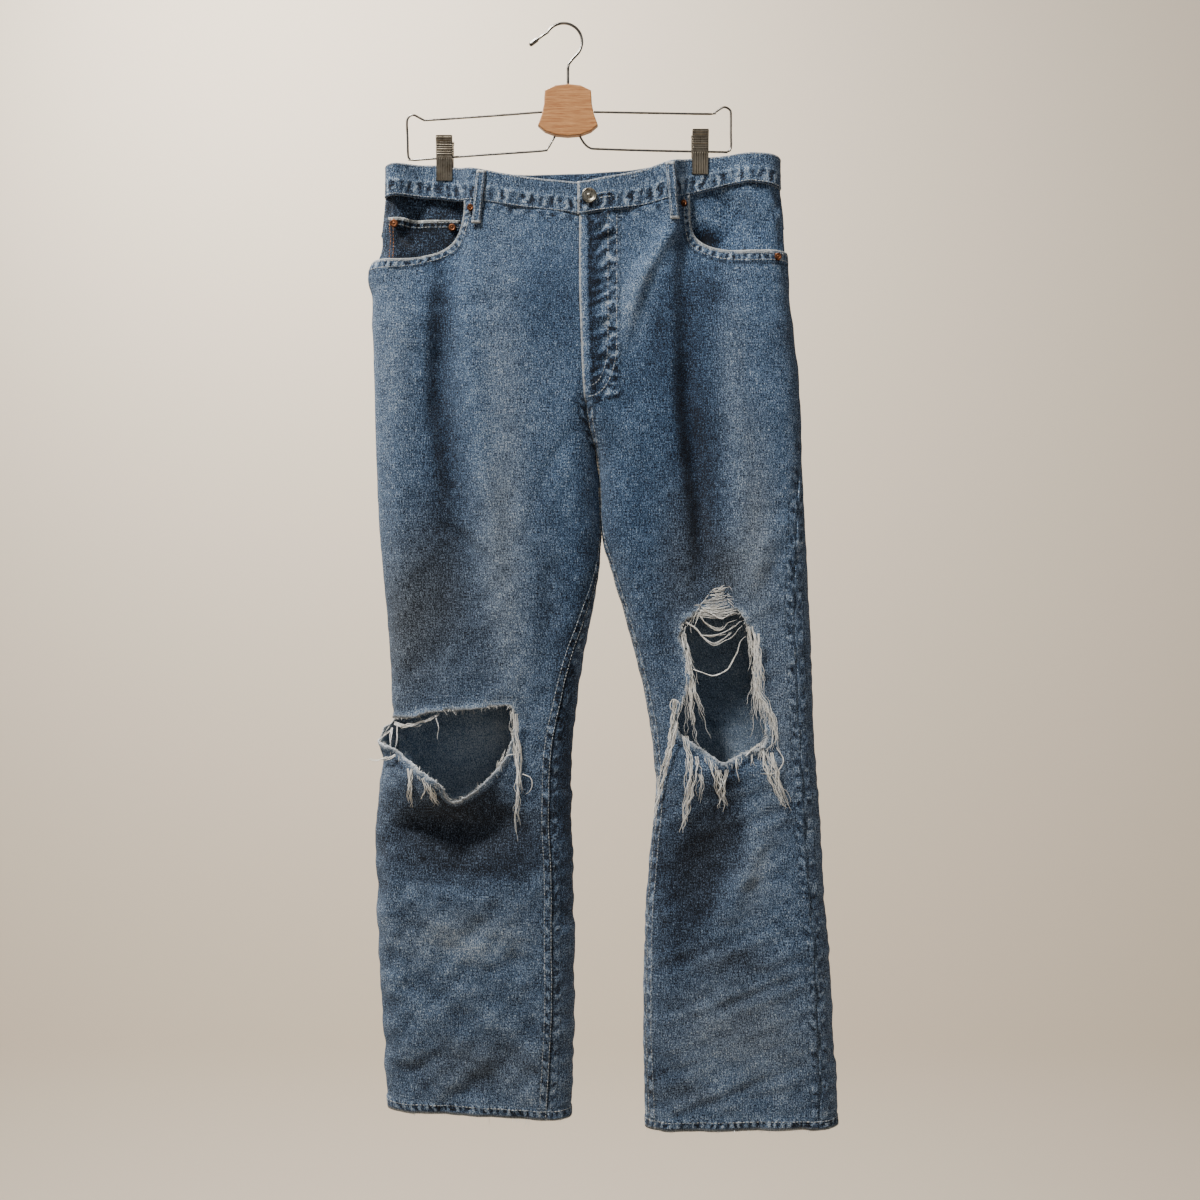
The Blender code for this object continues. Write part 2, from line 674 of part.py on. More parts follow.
def cut(target, cutter, operation="DIFFERENCE"):
    boolean = target.modifiers.new("cut " + cutter.name, "BOOLEAN")
    boolean.operation = operation
    boolean.solver = "EXACT"
    boolean.object = cutter


def mouth_line(mouth, count=14):
    """Points (x, drop) along a pocket mouth, from the waist seam to the side seam."""
    power = 2 / mouth.squareness
    points = []
    for a in np.linspace(0, math.pi / 2, count):
        x = mouth.side_x + (mouth.corner_x - mouth.side_x) * math.cos(a) ** power
        drop = mouth.top + (mouth.side_drop - mouth.top) * math.sin(a) ** power
        points.append((x, drop))
    return points


def mouth_cutter(mouth):
    """Everything between the pocket mouth, the waist seam and the side."""
    side = math.copysign(CUT_BEYOND, mouth.side_x)
    line = mouth_line(mouth)
    above = mouth.top - CUT_BEHIND
    outline = [(mouth.corner_x, above)] + line
    outline += [(mouth.side_x + side, mouth.side_drop), (mouth.side_x + side, above)]
    return prism("cut_mouth_" + mouth.leg, outline, -CUT_DEPTH, CUT_BEHIND)


def seat(names, face, x, drop):
    """The outermost point of these sheets at an x and a drop, and its outward normal."""
    sign = FACE_SIGN[face]
    best = None
    for name, nudge in product(names, (0.0, -SEAM_GAP, SEAM_GAP)):
        tree, half_wall = SHEETS[name]
        point, normal, _, _ = tree.ray_cast(Vector((x, sign, -drop + nudge)), Vector((0, -sign, 0)))
        if point is None:
            continue
        normal = normal * math.copysign(1.0, normal.y * sign)
        point.y += half_wall / normal.y
        if best is None or point.y * sign > best[0].y * sign:
            best = (point, normal)
    return best


def seat_disc(names, face, x, drop, radius):
    """A point for a round piece's flat base, clear of the facets under its rim."""
    point, normal = seat(names, face, x, drop)
    rise = 0.0
    for a in np.linspace(0, 2 * math.pi, 9)[:-1]:
        rim = seat(names, face, x + radius * math.cos(a), drop + radius * math.sin(a))
        if rim:
            rise = max(rise, (rim[0] - point).dot(normal))
    return point + normal * rise, normal


def build_panels():
    """Front panels, torn at the knees and cut away at the pocket mouths. The grids of both
    are kept for the pieces that lie on them."""
    grids = {}
    for leg, tear, mouth in (("right", RIGHT_TEAR, MOUTHS[0]), ("left", LEFT_TEAR, MOUTHS[1])):
        rows = levels(BAND_SEAM, HEMS[leg])
        grid = panel_rows(leg, "front", rows, front_top, partial(hem_line, leg), FRONT_COLUMNS)
        panel = loft("front_panel_" + leg, grid, CLOTH, "denim", hem_rows=2)
        cut(panel, prism("cut_knee_" + leg, tear, -CUT_DEPTH, TEAR_REAR[leg]))
        cut(panel, mouth_cutter(mouth))
        grids[leg] = grid
    return grids


def build_back():
    for leg in ("right", "left"):
        start = BAND_SEAM + (YOKE_SIDE + YOKE_CENTRE) / 2
        rows = [start] + [row for row in levels(BAND_SEAM, HEMS[leg]) if row > start + SEAM_GAP]
        grid = panel_rows(leg, "back", rows, partial(yoke_seam, leg), partial(hem_line, leg), BACK_COLUMNS)
        loft("back_panel_" + leg, grid, CLOTH, "denim", hem_rows=2)
        build_back_pocket(leg, grid)
        yoke = []
        for share in np.linspace(0, 1, YOKE_ROWS):
            level = BAND_SEAM + share * (start - BAND_SEAM)
            span = panel_span(leg, "back", level)
            row = []
            for x, y in on_ring(leg, level, stations(*span, BACK_COLUMNS)):
                top = back_top(x)
                row.append(Vector((x, y, -(top + share * (yoke_seam(leg, x) - SEAM_GAP - top)))))
            yoke.append(row)
        loft("back_yoke_" + leg, yoke, CLOTH, "denim")


def band_curve(drop):
    """Mid-surface points of the waistband, from the buttoned end round to the other end, and
    1 for each that is behind, 0 for each in front."""
    left_front = face_curve("left", "front", drop)[::-1]
    left_back = face_curve("left", "back", drop)
    right_back = face_curve("right", "back", drop)[::-1]
    right_front = face_curve("right", "front", drop)
    start = np.array([[OVERLAP_X, left_front[0, 1]]])
    end = np.array([[OVERLAP_X + OVERLAP_LENGTH, left_front[0, 1]]])
    points = np.vstack([start, left_front, left_back, right_back, right_front, end])
    behind = np.ones(len(points))
    behind[:1 + len(left_front)] = 0.0
    behind[-1 - len(right_front):] = 0.0
    return points, behind


def build_waistband():
    points, faces_back = band_curve(BAND_LEVEL)
    steps = np.hypot(*np.diff(points, axis=0).T)
    along = np.concatenate([[0.0], np.cumsum(steps)])
    grid = []
    for share in (0.0, 0.5, 1.0):
        row = []
        for at in np.linspace(0, along[-1], BAND_STATIONS):
            x = float(np.interp(at, along, points[:, 0]))
            y = float(np.interp(at, along, points[:, 1]))
            behind = float(np.interp(at, along, faces_back))
            top = waist("top", x) * (1 - behind) + waist("back_top", x) * behind
            seam = waist("seam", x) * (1 - behind) + waist("back_seam", x) * behind
            over = (BAND_CLOTH + LAYER_GAP) * (1 - ease(at, OVERLAP_LENGTH, OVERLAP_LENGTH + OVERLAP_EASE))
            row.append(Vector((x, y - over, -(top + share * (seam - top)))))
        grid.append(row)
    loft("waistband", grid, BAND_CLOTH, "denim")


def rectangle(x0, x1, top, bottom):
    return [(x0, top), (x1, top), (x1, bottom), (x0, bottom)]


def build_front_pockets(grids):
    """A facing behind each mouth, sagging away from it, and a coin pocket on the right one."""
    for mouth in MOUTHS:
        grid = grids[mouth.leg][:FACING_ROWS]
        bell = np.zeros(len(grid[0]))
        bell[:GAPE_COLUMNS] = np.sin(np.linspace(0, math.pi, GAPE_COLUMNS)) ** 2
        layer = moved_out(grid, -(CLOTH + LAYER_GAP) - POCKET_GAPE * np.outer(GAPE_ROWS, bell))
        side = math.copysign(1.0, mouth.side_x)
        below = mouth.side_drop + FACING_BELOW
        if mouth.leg == "right":
            pocket = loft("coin_pocket", layer, CLOTH, "pocket_denim")
            outline = rectangle(COIN_OUTER, COIN_INNER, COIN_TOP, below - COIN_ABOVE)
            cut(pocket, prism("keep_coin_pocket", outline, -CUT_DEPTH, CUT_BEHIND), "INTERSECT")
            layer = moved_out(layer, -(CLOTH + LAYER_GAP))
        facing = loft("pocket_facing_" + mouth.leg, layer, CLOTH, "denim")
        inner_x = mouth.corner_x - side * FACING_BEYOND
        outline = rectangle(inner_x, mouth.side_x + side * CUT_BEYOND, KEEP_TOP, below)
        cut(facing, prism("keep_facing_" + mouth.leg, outline, -CUT_DEPTH, CUT_BEHIND), "INTERSECT")


def build_back_pocket(leg, grid):
    """A plain patch pocket that comes to a point at the bottom."""
    middle = (read(OUTERS[leg], "x", BACK_POCKET_TOP) + read(INNERS[leg], "x", BACK_POCKET_TOP)) / 2
    half = BACK_POCKET_WIDTH / 2
    narrow = half * BACK_POCKET_TAPER
    base = BACK_POCKET_TOP + BACK_POCKET_HEIGHT
    shoulder = base - BACK_POCKET_POINT
    outline = [
        (middle - half, BACK_POCKET_TOP), (middle + half, BACK_POCKET_TOP), (middle + narrow, shoulder),
        (middle, base), (middle - narrow, shoulder),
    ]
    layer = moved_out(grid[:BACK_POCKET_ROWS], CLOTH + LAYER_GAP)
    pocket = loft("back_pocket_" + leg, layer, CLOTH, "denim")
    cut(pocket, prism("keep_back_pocket_" + leg, outline, -CUT_BEHIND, CUT_DEPTH), "INTERSECT")


def build_fly_shield(grids):
    """It lies behind both front panels where they meet at the fly."""
    grid = []
    for right_row, left_row in zip(grids["right"][:FLY_SHIELD_ROWS], grids["left"][:FLY_SHIELD_ROWS]):
        grid.append(right_row[-4:] + left_row[-4:][::-1])
    shield = loft("fly_shield", moved_out(grid, -(CLOTH + LAYER_GAP)), CLOTH, "pocket_denim")
    outline = rectangle(*FLY_SHIELD, KEEP_TOP, FLY_SHIELD_END)
    cut(shield, prism("keep_fly_shield", outline, -CUT_DEPTH, CUT_BEHIND), "INTERSECT")


def build_belt_loops():
    tops = {"front": "top", "back": "back_top"}
    for loop in LOOPS:
        top = waist(tops[loop.face], loop.top_x) + LOOP_BELOW_TOP
        under = ["waistband", loop.face + "_panel_" + loop.leg]
        if loop.face == "back":
            under = ["waistband", "back_yoke_right", "back_yoke_left"]
        sign = FACE_SIGN[loop.face]
        grid = []
        for share in np.linspace(0, 1, LOOP_ROWS):
            x = loop.top_x + share * (loop.bottom_x - loop.top_x)
            drop = top + share * (loop.bottom_drop - top)
            proud = loop.proud * math.sin(math.pi * share)
            half = LOOP_WIDTH / 2
            below = [seat(under, loop.face, x + shift, drop)[0].y for shift in (-half, 0.0, half)]
            y = sign * (max(sign * near for near in below) + LOOP_CLOTH / 2 + LOOP_GAP + proud)
            grid.append([Vector((x + shift, y, -drop)) for shift in (-half, half)])
        loft(loop.name, grid, LOOP_CLOTH, "denim")


def place(made, point, direction):
    """Stands an object on a point with its own +Z along a direction."""
    made.location = point
    made.rotation_mode = "QUATERNION"
    made.rotation_quaternion = Vector(direction).to_track_quat("Z", "Y")


def turned(name, profile, look, steps=20):
    """A solid turned round its own Z from (radius, height) points, outer side top to bottom."""
    mesh = bpy.data.meshes.new(name)
    points = [(radius, 0, height) for radius, height in profile]
    edges = [(k, k + 1) for k in range(len(points) - 1)]
    mesh.from_pydata(points, edges, [])
    made = add(name, mesh, look)
    screw = made.modifiers.new("turn", "SCREW")
    screw.steps = steps
    screw.render_steps = steps
    screw.use_merge_vertices = True
    screw.merge_threshold = 0.00005
    return made


def build_button():
    point, normal = seat_disc(["waistband"], "front", BUTTON_X, BUTTON_DROP, BUTTON_RADIUS)
    r = BUTTON_RADIUS
    profile = [
        (0, 0.0030), (r * 0.25, 0.0028), (r * 0.45, 0.0021), (r * 0.72, 0.0024), (r * 0.92, 0.0031),
        (r, 0.0022), (r * 0.96, 0.0008), (r * 0.7, 0), (0, 0),
    ]
    place(turned("waist_button", profile, "nickel", 24), point + normal * LAYER_GAP, normal)


def build_rivets():
    r = RIVET_RADIUS
    h = RIVET_HEIGHT
    profile = [(0, h), (r * 0.3, h), (r * 0.45, h * 0.55), (r * 0.8, h * 0.6), (r, h * 0.3), (r, 0), (0, 0)]
    for rivet in RIVETS:
        point, normal = seat_disc([rivet.layer], "front", rivet.x, rivet.drop, RIVET_RADIUS)
        place(turned(rivet.name, profile, "copper", 12), point + normal * RIVET_GAP, normal)


def wire(name, points, radius, look, taper=0.0, sides=3):
    """A bent wire or bundle of yarns as a bevelled curve with closed ends, which loses a
    share of its radius by its end."""
    curve = bpy.data.curves.new(name, "CURVE")
    curve.dimensions = "3D"
    curve.bevel_depth = radius
    curve.bevel_resolution = sides
    curve.use_fill_caps = True
    spline = curve.splines.new("POLY")
    spline.points.add(len(points) - 1)
    for k, point in enumerate(points):
        spline.points[k].co = (*point, 1.0)
        spline.points[k].radius = 1.0 - taper * k / (len(points) - 1)
    return add(name, curve, look)


def catmull_rom(a, b, c, d, t):
    """The value a share t of the way from b to c."""
    square = 2 * a - 5 * b + 4 * c - d
    cube = 3 * b - 3 * c + d - a
    return b + 0.5 * ((c - a) * t + square * t ** 2 + cube * t ** 3)


def rounded_path(points, per_span=4):
    """A Catmull-Rom curve through (x, drop) points, as points in the hanging plane."""
    knots = [points[0]] + list(points) + [points[-1]]
    path = []
    for p0, p1, p2, p3 in zip(knots, knots[1:], knots[2:], knots[3:]):
        for step in range(per_span):
            t = step / per_span
            x, drop = [catmull_rom(*values, t) for values in zip(p0, p1, p2, p3)]
            path.append(Vector((x, 0, -drop)))
    path.append(Vector((points[-1][0], 0, -points[-1][1])))
    return path


def build_fringes():
    for fringe in FRINGES:
        points = []
        for share in np.linspace(0, 1, FRINGE_POINTS):
            a = (1 - share) ** 2
            b = 2 * share * (1 - share)
            c = share ** 2
            x = a * fringe.start[0] + b * fringe.bend[0] + c * fringe.end[0]
            drop = a * fringe.start[1] + b * fringe.bend[1] + c * fringe.end[1]
            outer = read(OUTERS[fringe.leg], "x", drop)
            inner = read(INNERS[fringe.leg], "x", drop)
            low, high = sorted((outer, inner))
            held = min(max(x, low + FRINGE_EDGE), high - FRINGE_EDGE)
            point, _ = seat_disc(["front_panel_" + fringe.leg], "front", held, drop, fringe.radius)
            points.append(Vector((x, point.y - fringe.radius - fringe.lift, -drop)))
        name = f"fringe_{fringe.leg}_knee_{fringe.number}"
        wire(name, points, fringe.radius, "yarn", taper=FRINGE_TAPER, sides=1)


def build_hook():
    """The hook runs from its tip over the crown and down into the wooden plate."""
    centre = Vector((0, 0, -(HOOK_RADIUS - HOOK_WIRE)))
    points = [Vector((x, 0, -drop)) for x, drop in HOOK_TIP]
    for degrees in np.linspace(*HOOK_SWEEP, 22):
        a = math.radians(degrees)
        points.append(centre + HOOK_RADIUS * Vector((math.cos(a), 0, math.sin(a))))
    points += [Vector((x, 0, -drop)) for x, drop in HOOK_NECK]
    wire("hanger_hook", points, HOOK_WIRE, "steel")
    outward = (points[0] - points[1]).normalized()
    r = SLEEVE_RADIUS
    profile = [(0, SLEEVE_LENGTH), (r * 0.6, SLEEVE_LENGTH), (r, SLEEVE_LENGTH * 0.86), (r, 0), (0, 0)]
    place(turned("hanger_hook_tip", profile, "steel", 12), points[0] + outward * SLEEVE_GAP, outward)


def build_plate():
    """A flat wooden plate with rounded edges, its outline mirrored about the stem."""
    outline = [(STEM_X + x, drop) for x, drop in PLATE_OUTLINE]
    outline += [(STEM_X - x, drop) for x, drop in PLATE_OUTLINE[-2:0:-1]]
    curve = bpy.data.curves.new("hanger_plate", "CURVE")
    curve.dimensions = "2D"
    curve.fill_mode = "BOTH"
    curve.extrude = PLATE_THICKNESS / 2 - PLATE_EDGE
    curve.bevel_depth = PLATE_EDGE
    curve.bevel_resolution = 2
    curve.offset = -PLATE_EDGE
    spline = curve.splines.new("POLY")
    spline.points.add(len(outline) - 1)
    for k, (x, drop) in enumerate(outline):
        spline.points[k].co = (x, -drop, 0.0, 1.0)
    spline.use_cyclic_u = True
    made = add("hanger_plate", curve, "wood")
    made.rotation_euler = (math.pi / 2, 0, 0)


def build_frames():
    wire("hanger_wire_right", rounded_path(FRAME_RIGHT, 3), FRAME_WIRE, "steel", sides=2)
    wire("hanger_wire_left", rounded_path(FRAME_LEFT, 3), FRAME_WIRE, "steel", sides=2)


def jaw_profile():
    """Points (y, z) round the side of a jaw, z above the wire, with ribs on the grip."""
    inner = [(JAW_TIP, -JAW_BELOW), (JAW_TIP, -JAW_BEND), (JAW_PIVOT, 0.0), (JAW_TOP, JAW_ABOVE)]
    outer = []
    for rib in range(RIBS):
        z = JAW_ABOVE - rib * RIB_PITCH
        y = JAW_TOP - (JAW_TOP - JAW_PIVOT) * (JAW_ABOVE - z) / JAW_ABOVE + JAW_PLATE
        outer += [(y, z), (y + RIB_HEIGHT, z - RIB_HEIGHT), (y + RIB_HEIGHT, z - 2 * RIB_HEIGHT)]
        outer.append((y, z - 3 * RIB_HEIGHT))
    outer.append((JAW_PIVOT + JAW_PLATE, 0.0))
    outer.append((JAW_TIP + JAW_PLATE, -JAW_BEND))
    outer.append((JAW_TIP + JAW_PLATE, -JAW_BELOW))
    return inner + outer


def build_jaw(clip, face):
    shape = bmesh.new()
    corners = []
    for y, z in jaw_profile():
        corners.append(shape.verts.new((clip.x - JAW_WIDTH / 2, FACE_SIGN[face] * y, z - clip.wire_drop)))
    side = shape.faces.new(corners)
    pushed = bmesh.ops.extrude_face_region(shape, geom=[side])
    moved = [item for item in pushed["geom"] if isinstance(item, bmesh.types.BMVert)]
    bmesh.ops.translate(shape, verts=moved, vec=(JAW_WIDTH, 0, 0))
    bmesh.ops.triangulate(shape, faces=[f for f in shape.faces if len(f.verts) > 4])
    bmesh.ops.recalc_face_normals(shape, faces=shape.faces)
    mesh = bpy.data.meshes.new("jaw")
    shape.to_mesh(mesh)
    shape.free()
    add("clip_" + clip.name + "_" + face + "_jaw", mesh, "nickel")


def build_clips():
    """Each clip has two jaws and a spring round the wire between them."""
    half = SPRING_LENGTH / 2
    profile = [(SPRING_RADIUS, half), (SPRING_RADIUS, -half), (SPRING_BORE, -half), (SPRING_BORE, half)]
    profile.append(profile[0])
    for clip in CLIPS:
        build_jaw(clip, "front")
        build_jaw(clip, "back")
        spring = turned("clip_" + clip.name + "_spring", profile, "steel", 16)
        place(spring, Vector((clip.x, 0, -clip.wire_drop)), Vector((1, 0, 0)))


def clear_scene():
    for found in list(bpy.data.objects):
        bpy.data.objects.remove(found)
    for name in ("ripped_jeans", "cutters"):
        made = bpy.data.collections.new(name)
        bpy.context.scene.collection.children.link(made)


def main():
    clear_scene()
    grids = build_panels()
    build_back()
    build_waistband()
    build_front_pockets(grids)
    build_fly_shield(grids)
    build_belt_loops()
    build_button()
    build_rivets()
    build_fringes()
    build_hook()
    build_plate()
    build_frames()
    build_clips()


main()
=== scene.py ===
import math
import random

import bmesh
import bpy
import numpy as np
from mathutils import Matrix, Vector, geometry


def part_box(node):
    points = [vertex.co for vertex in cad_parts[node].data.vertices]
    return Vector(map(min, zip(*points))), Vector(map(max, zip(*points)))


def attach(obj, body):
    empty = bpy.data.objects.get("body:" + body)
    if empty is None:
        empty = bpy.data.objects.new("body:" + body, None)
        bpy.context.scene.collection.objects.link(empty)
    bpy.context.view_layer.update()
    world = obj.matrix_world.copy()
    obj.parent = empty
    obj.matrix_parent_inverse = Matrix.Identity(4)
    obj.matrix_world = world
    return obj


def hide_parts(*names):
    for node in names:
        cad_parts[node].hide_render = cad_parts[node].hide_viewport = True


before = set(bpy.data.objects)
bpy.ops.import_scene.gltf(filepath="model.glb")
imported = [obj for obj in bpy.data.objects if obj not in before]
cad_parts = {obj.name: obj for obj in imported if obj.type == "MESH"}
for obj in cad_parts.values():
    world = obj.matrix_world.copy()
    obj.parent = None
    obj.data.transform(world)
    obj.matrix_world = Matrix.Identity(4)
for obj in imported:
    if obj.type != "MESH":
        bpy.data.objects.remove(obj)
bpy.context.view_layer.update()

# Ripped jeans on a clip hanger. The origin is the inside of the hook's crown, +Z is up and
# the front faces -Y. A drop is a distance below the origin. Right and left are the wearer's.

# Tables are written in thousandths: of a metre for a size, of one for a share.
def thousandths(table):
    if isinstance(table, dict):
        return {key: thousandths(value) for key, value in table.items()}
    return tuple(map(thousandths, table)) if isinstance(table, tuple) else round(table / 1000, 7)


def pairs(row):
    return list(zip(row[::2], row[1::2]))


# the garment's own sizes, in thousandths
# x and drop of every outline, as in the solids that the cloth lies on
garment = thousandths({
    "cloth": 1.2,
    "folded": 3.0,    # a hem or a band of several layers
    "seamGap": 0.5,   # between the two legs below the crotch
    "seamLap": 0.6,   # how far joined pieces lap over each other
    "layerGap": 0.6,
    "bandSeam": 205,
    "yokeSide": 42,
    "yokeCentre": 75,
    "topReach": 120,
    "hemReach": 100,
    "hem": {"right": 1247, "left": 1263.5},
    "hemSlope": {"right": 12, "left": 2},
    "centre": (
        (150, 20), (340, 20.5), (386, 22.4), (430, 25.5), (466, 30), (489, 36.5), (512, 40), (560, 42.5),
        (581, 43.1),
    ),
    "rightOuter": (
        (150, -203.5), (205, -204.6), (240, -208), (270, -211.5), (281, -219), (317, -219.1), (409, -216.8),
        (501, -214.5), (593, -209.9), (685, -201.8), (777, -196.1), (798, -196.1), (822, -210), (846, -207),
        (869, -209.5), (915, -214.5), (1007, -213.3), (1099, -209.9), (1191, -204.1), (1270, -199),
    ),
    "rightInner": (
        (638, 39.7), (666, 35.1), (703, 28.2), (737, 21.3), (784, 15.5), (823, 10.9), (915, 9.8),
        (1007, 12.1),
        (1191, 11.5), (1270, 8),
    ),
    "leftOuter": (
        (150, 248.5), (193, 249), (219, 252.4), (265, 255), (317, 259.3), (409, 269.7), (524, 274.3),
        (616, 278.9), (708, 283.5), (800, 286.9), (892, 292.7), (984, 298.4), (1076, 305.3), (1168, 309.9),
        (1237, 313.4), (1280, 312.5),
    ),
    "leftInner": (
        (616, 51.2), (656, 62.7), (708, 77.6), (754, 89.1), (800, 98.3), (846, 104.1), (880, 106.4),
        (915, 102.9), (984, 96), (1076, 92.6), (1168, 91.4), (1280, 94.5),
    ),
    # drop, bulge of the front, of the back, roundness of the folded edge, share still open
    "depths": (
        (150, 19, 12, 18, 980), (220, 20, 14, 22, 980), (300, 25, 20, 28, 980), (400, 29, 24, 30, 940),
        (450, 29, 25, 30, 720), (480, 28, 25, 30, 400), (500, 28, 25, 30, 50), (530, 28, 25, 30, 10),
        (650, 27, 25, 30, 10), (780, 26, 24, 28, 10), (900, 26, 23, 28, 10), (1050, 27, 22, 30, 10),
        (1280, 22, 21, 28, 10),
    ),
    # drop, distance of the outseam and of the inseam from the folded edges, positive in front
    "rightSeams": (
        (150, 0, 0), (290, 0, 0), (420, -12, 0), (600, -20, 2), (700, -24, 22), (800, -26, 34),
        (1000, -28, 38),
        (1280, -28, 38),
    ),
    "leftSeams": (
        (150, 0, 0), (420, 0, 0), (540, 20, 0), (620, 30, 6), (850, 34, 10), (1280, 34, 12),
    ),
    # x, front edge of the band, seam below it, back edge of the band, back seam
    "waist": (
        (-204, 165, 201.8, 165, 201.8), (-165, 163.5, 202, 163.2, 201), (-142, 163.5, 203, 162.7, 200),
        (-96, 172, 210, 165, 202), (-50, 180, 216.5, 168, 205), (0, 186, 222.5, 168, 206),
        (18, 187.5, 225, 167.5, 205.5), (42, 183.5, 222, 166, 204), (88, 173.5, 216, 161.5, 200),
        (122, 162.5, 207, 156, 196), (145, 156, 198.5, 154.5, 194), (168, 154, 192.5, 154, 192),
        (203, 152.5, 187, 152.5, 189), (249, 155.8, 192.6, 155.8, 192.6),
    ),
    # how the clips pinch the waist
    "pinch": {"half": 2.6, "inner": 26, "outer": 45, "start": 215, "end": 340},
})
# the clips' x, and the way that is outward
garment["clips"] = ((-0.1363, -1), (0.1570, 1))

# half width, height, then x and drop by turns along the fold; the first rows are the solids' own
folds = thousandths({
    ("right", "front"): (
        (19, -11.5, -135, 270, -139, 440, -122, 550, -105, 660),
        (12, 5, -111, 320, -99, 440, -82, 550, -58, 770), (9, 3, -152, 280, -156, 440, -140, 560),
        (8, -2.6, -138, 280, -142, 440, -126, 560), (14, 4, -184, 320, -184, 740),
        (7, -2.2, -139, 577, -114, 594, -94, 617), (6, 1.6, -130, 566, -106, 582, -88, 604),
        (6, -1.6, -203, 608, -184, 600), (8, -2.6, -190, 1007, -176, 990, -161, 978),
        (7, -2.2, -190, 1052, -178, 1036, -167, 1024), (6, -1.8, -195, 1097, -167, 1099),
        (8, -2.2, -94, 1086, -70, 1078, -48, 1069), (9, -3.2, -195, 1199, -161, 1191, -128, 1171),
        (9, -3.2, -116, 1216, -77, 1199, -48, 1171), (7, -2, -139, 1224, -71, 1216),
        (10, 2.4, -150, 995, -110, 1000, -70, 990), (9, -2.6, -30, 610, -12, 660, -18, 730),
        (10, -2, -175, 320, -120, 330, -60, 322), (10, -1.4, -190, 380, -150, 388, -90, 380),
        (9, -2.2, 10, 470, -20, 520, -34, 580),
    ),
    ("right", "back"): (
        (18, -6, -125, 260, -120, 450, -90, 600), (16, 4, -60, 400, -75, 750),
        (10, -3, 20, 500, -20, 560, -40, 640), (9, 2.4, 15, 470, -30, 520, -65, 590),
        (9, -3, -180, 820, -120, 850, -60, 840), (9, -2.6, -30, 900, -80, 925, -150, 915),
        (9, -2.8, -190, 1190, -140, 1180, -90, 1150), (8, -2.4, -60, 1210, -30, 1185, -15, 1150),
    ),
    ("left", "front"): (
        (10, 9, 128, 235, 110, 260, 87, 300, 67, 370), (20, -10.5, 141, 260, 144, 440, 161, 550, 161, 660),
        (9, -4, 136, 260, 139, 440, 154, 550, 156, 660), (10, 4, 122, 250, 123, 440, 136, 560, 140, 660),
        (12, 4, 185, 340, 200, 450, 205, 600), (12, 7, 225, 930, 205, 970, 178, 1030),
        (8, -2.4, 217, 568, 240, 562, 262, 557), (8, -2.6, 223, 662, 240, 623, 257, 594),
        (7, 2, 210, 640, 226, 606, 238, 585), (7, -3, 110, 945, 109, 1060, 110, 1204),
        (8, -2.4, 104, 1199, 124, 1196, 144, 1193), (8, -2.6, 200, 1229, 224, 1225, 245, 1221),
        (7, -2, 205, 1079, 229, 1082), (8, -2, 130, 1130, 165, 1110, 190, 1070),
        (9, -2.6, 138, 498, 155, 572, 172, 662), (10, -2.4, 62, 480, 85, 520, 100, 590),
        (8, 2, 47, 440, 75, 470, 96, 520), (10, -1.8, 215, 320, 240, 335, 258, 330),
        (10, -2.2, 245, 860, 262, 900, 268, 960),
    ),
    ("left", "back"): (
        (18, -6, 150, 260, 165, 450, 175, 620), (16, 4, 240, 500, 235, 800),
        (10, -3, 65, 500, 100, 560, 118, 640), (9, 2.4, 70, 470, 110, 520, 140, 590),
        (9, -3, 110, 830, 170, 855, 240, 840), (9, -2.6, 130, 930, 190, 915, 260, 935),
        (9, -2.8, 290, 1200, 240, 1190, 190, 1160), (8, -2.4, 160, 1215, 130, 1190, 110, 1150),
    ),
})

# x, drop, half width, half drop, height
mounds = thousandths({
    ("right", "front"): (
        (-135, 862, 50, 34, 30), (-125, 918, 75, 20, -12), (-120, 1010, 80, 50, 9),
    ),
    ("right", "back"): (
        (-110, 880, 80, 60, -6),
    ),
    ("left", "front"): (
        (180, 860, 50, 22, 10), (150, 970, 34, 50, -11), (200, 1090, 70, 60, 5),
    ),
    ("left", "back"): (
        (190, 880, 80, 60, -6),
    ),
})

# the torn openings of the knees: x and drop by turns
tears = thousandths({
    "right": (
        -260, 795, -194, 796.5, -170, 795.3, -148, 788.6, -111, 786.3, -77, 782.9, -58.6, 782.9, -55, 806,
        -60, 826, -69, 845, -86, 863, -108, 881, -124.5, 884, -133, 867, -152, 854, -174.5, 840, -197, 826,
        -260, 814,
    ),
    "left": (
        136, 690, 144, 682, 160, 674, 195, 674, 203, 681, 209, 694, 218, 707, 216, 752, 223, 775, 228, 822,
        206, 834, 195, 839, 180, 846, 169, 839, 155, 829, 132, 812, 130, 792, 137, 777, 144, 755, 141, 730,
        136, 716, 133.5, 702,
    ),
})

# corner x, top, side x, side drop, squareness
mouths = {
    "right": (-0.1110, 0.205, -0.2200, 0.2765, 2.8),
    "left": (0.1440, 0.197, 0.2560, 0.2660, 4.2),
}

sign = {"front": -1.0, "back": 1.0}


def smooth(knots, values, at):
    # a cubic through every row of a table
    knots, values = np.asarray(knots, float), np.asarray(values, float)
    slopes = np.gradient(values, knots)
    at = np.clip(at, knots[0], knots[-1])
    i = np.clip(np.searchsorted(knots, at) - 1, 0, len(knots) - 2)
    span = knots[i + 1] - knots[i]
    t = (at - knots[i]) / span
    rise = values[i + 1] - values[i]
    start, end = span * slopes[i], span * slopes[i + 1]
    return values[i] + t * start + t * t * (3 * rise - 2 * start - end) + t ** 3 * (start + end - 2 * rise)


def fromTable(rows, column, at):
    rows = np.array(rows)
    return smooth(rows[:, 0], rows[:, column], at)


def ease(value, start, end):
    t = np.clip((value - start) / (end - start), 0.0, 1.0)
    return t * t * (3 - 2 * t)


def fall(value, start, end):
    return 1 - ease(value, start, end)


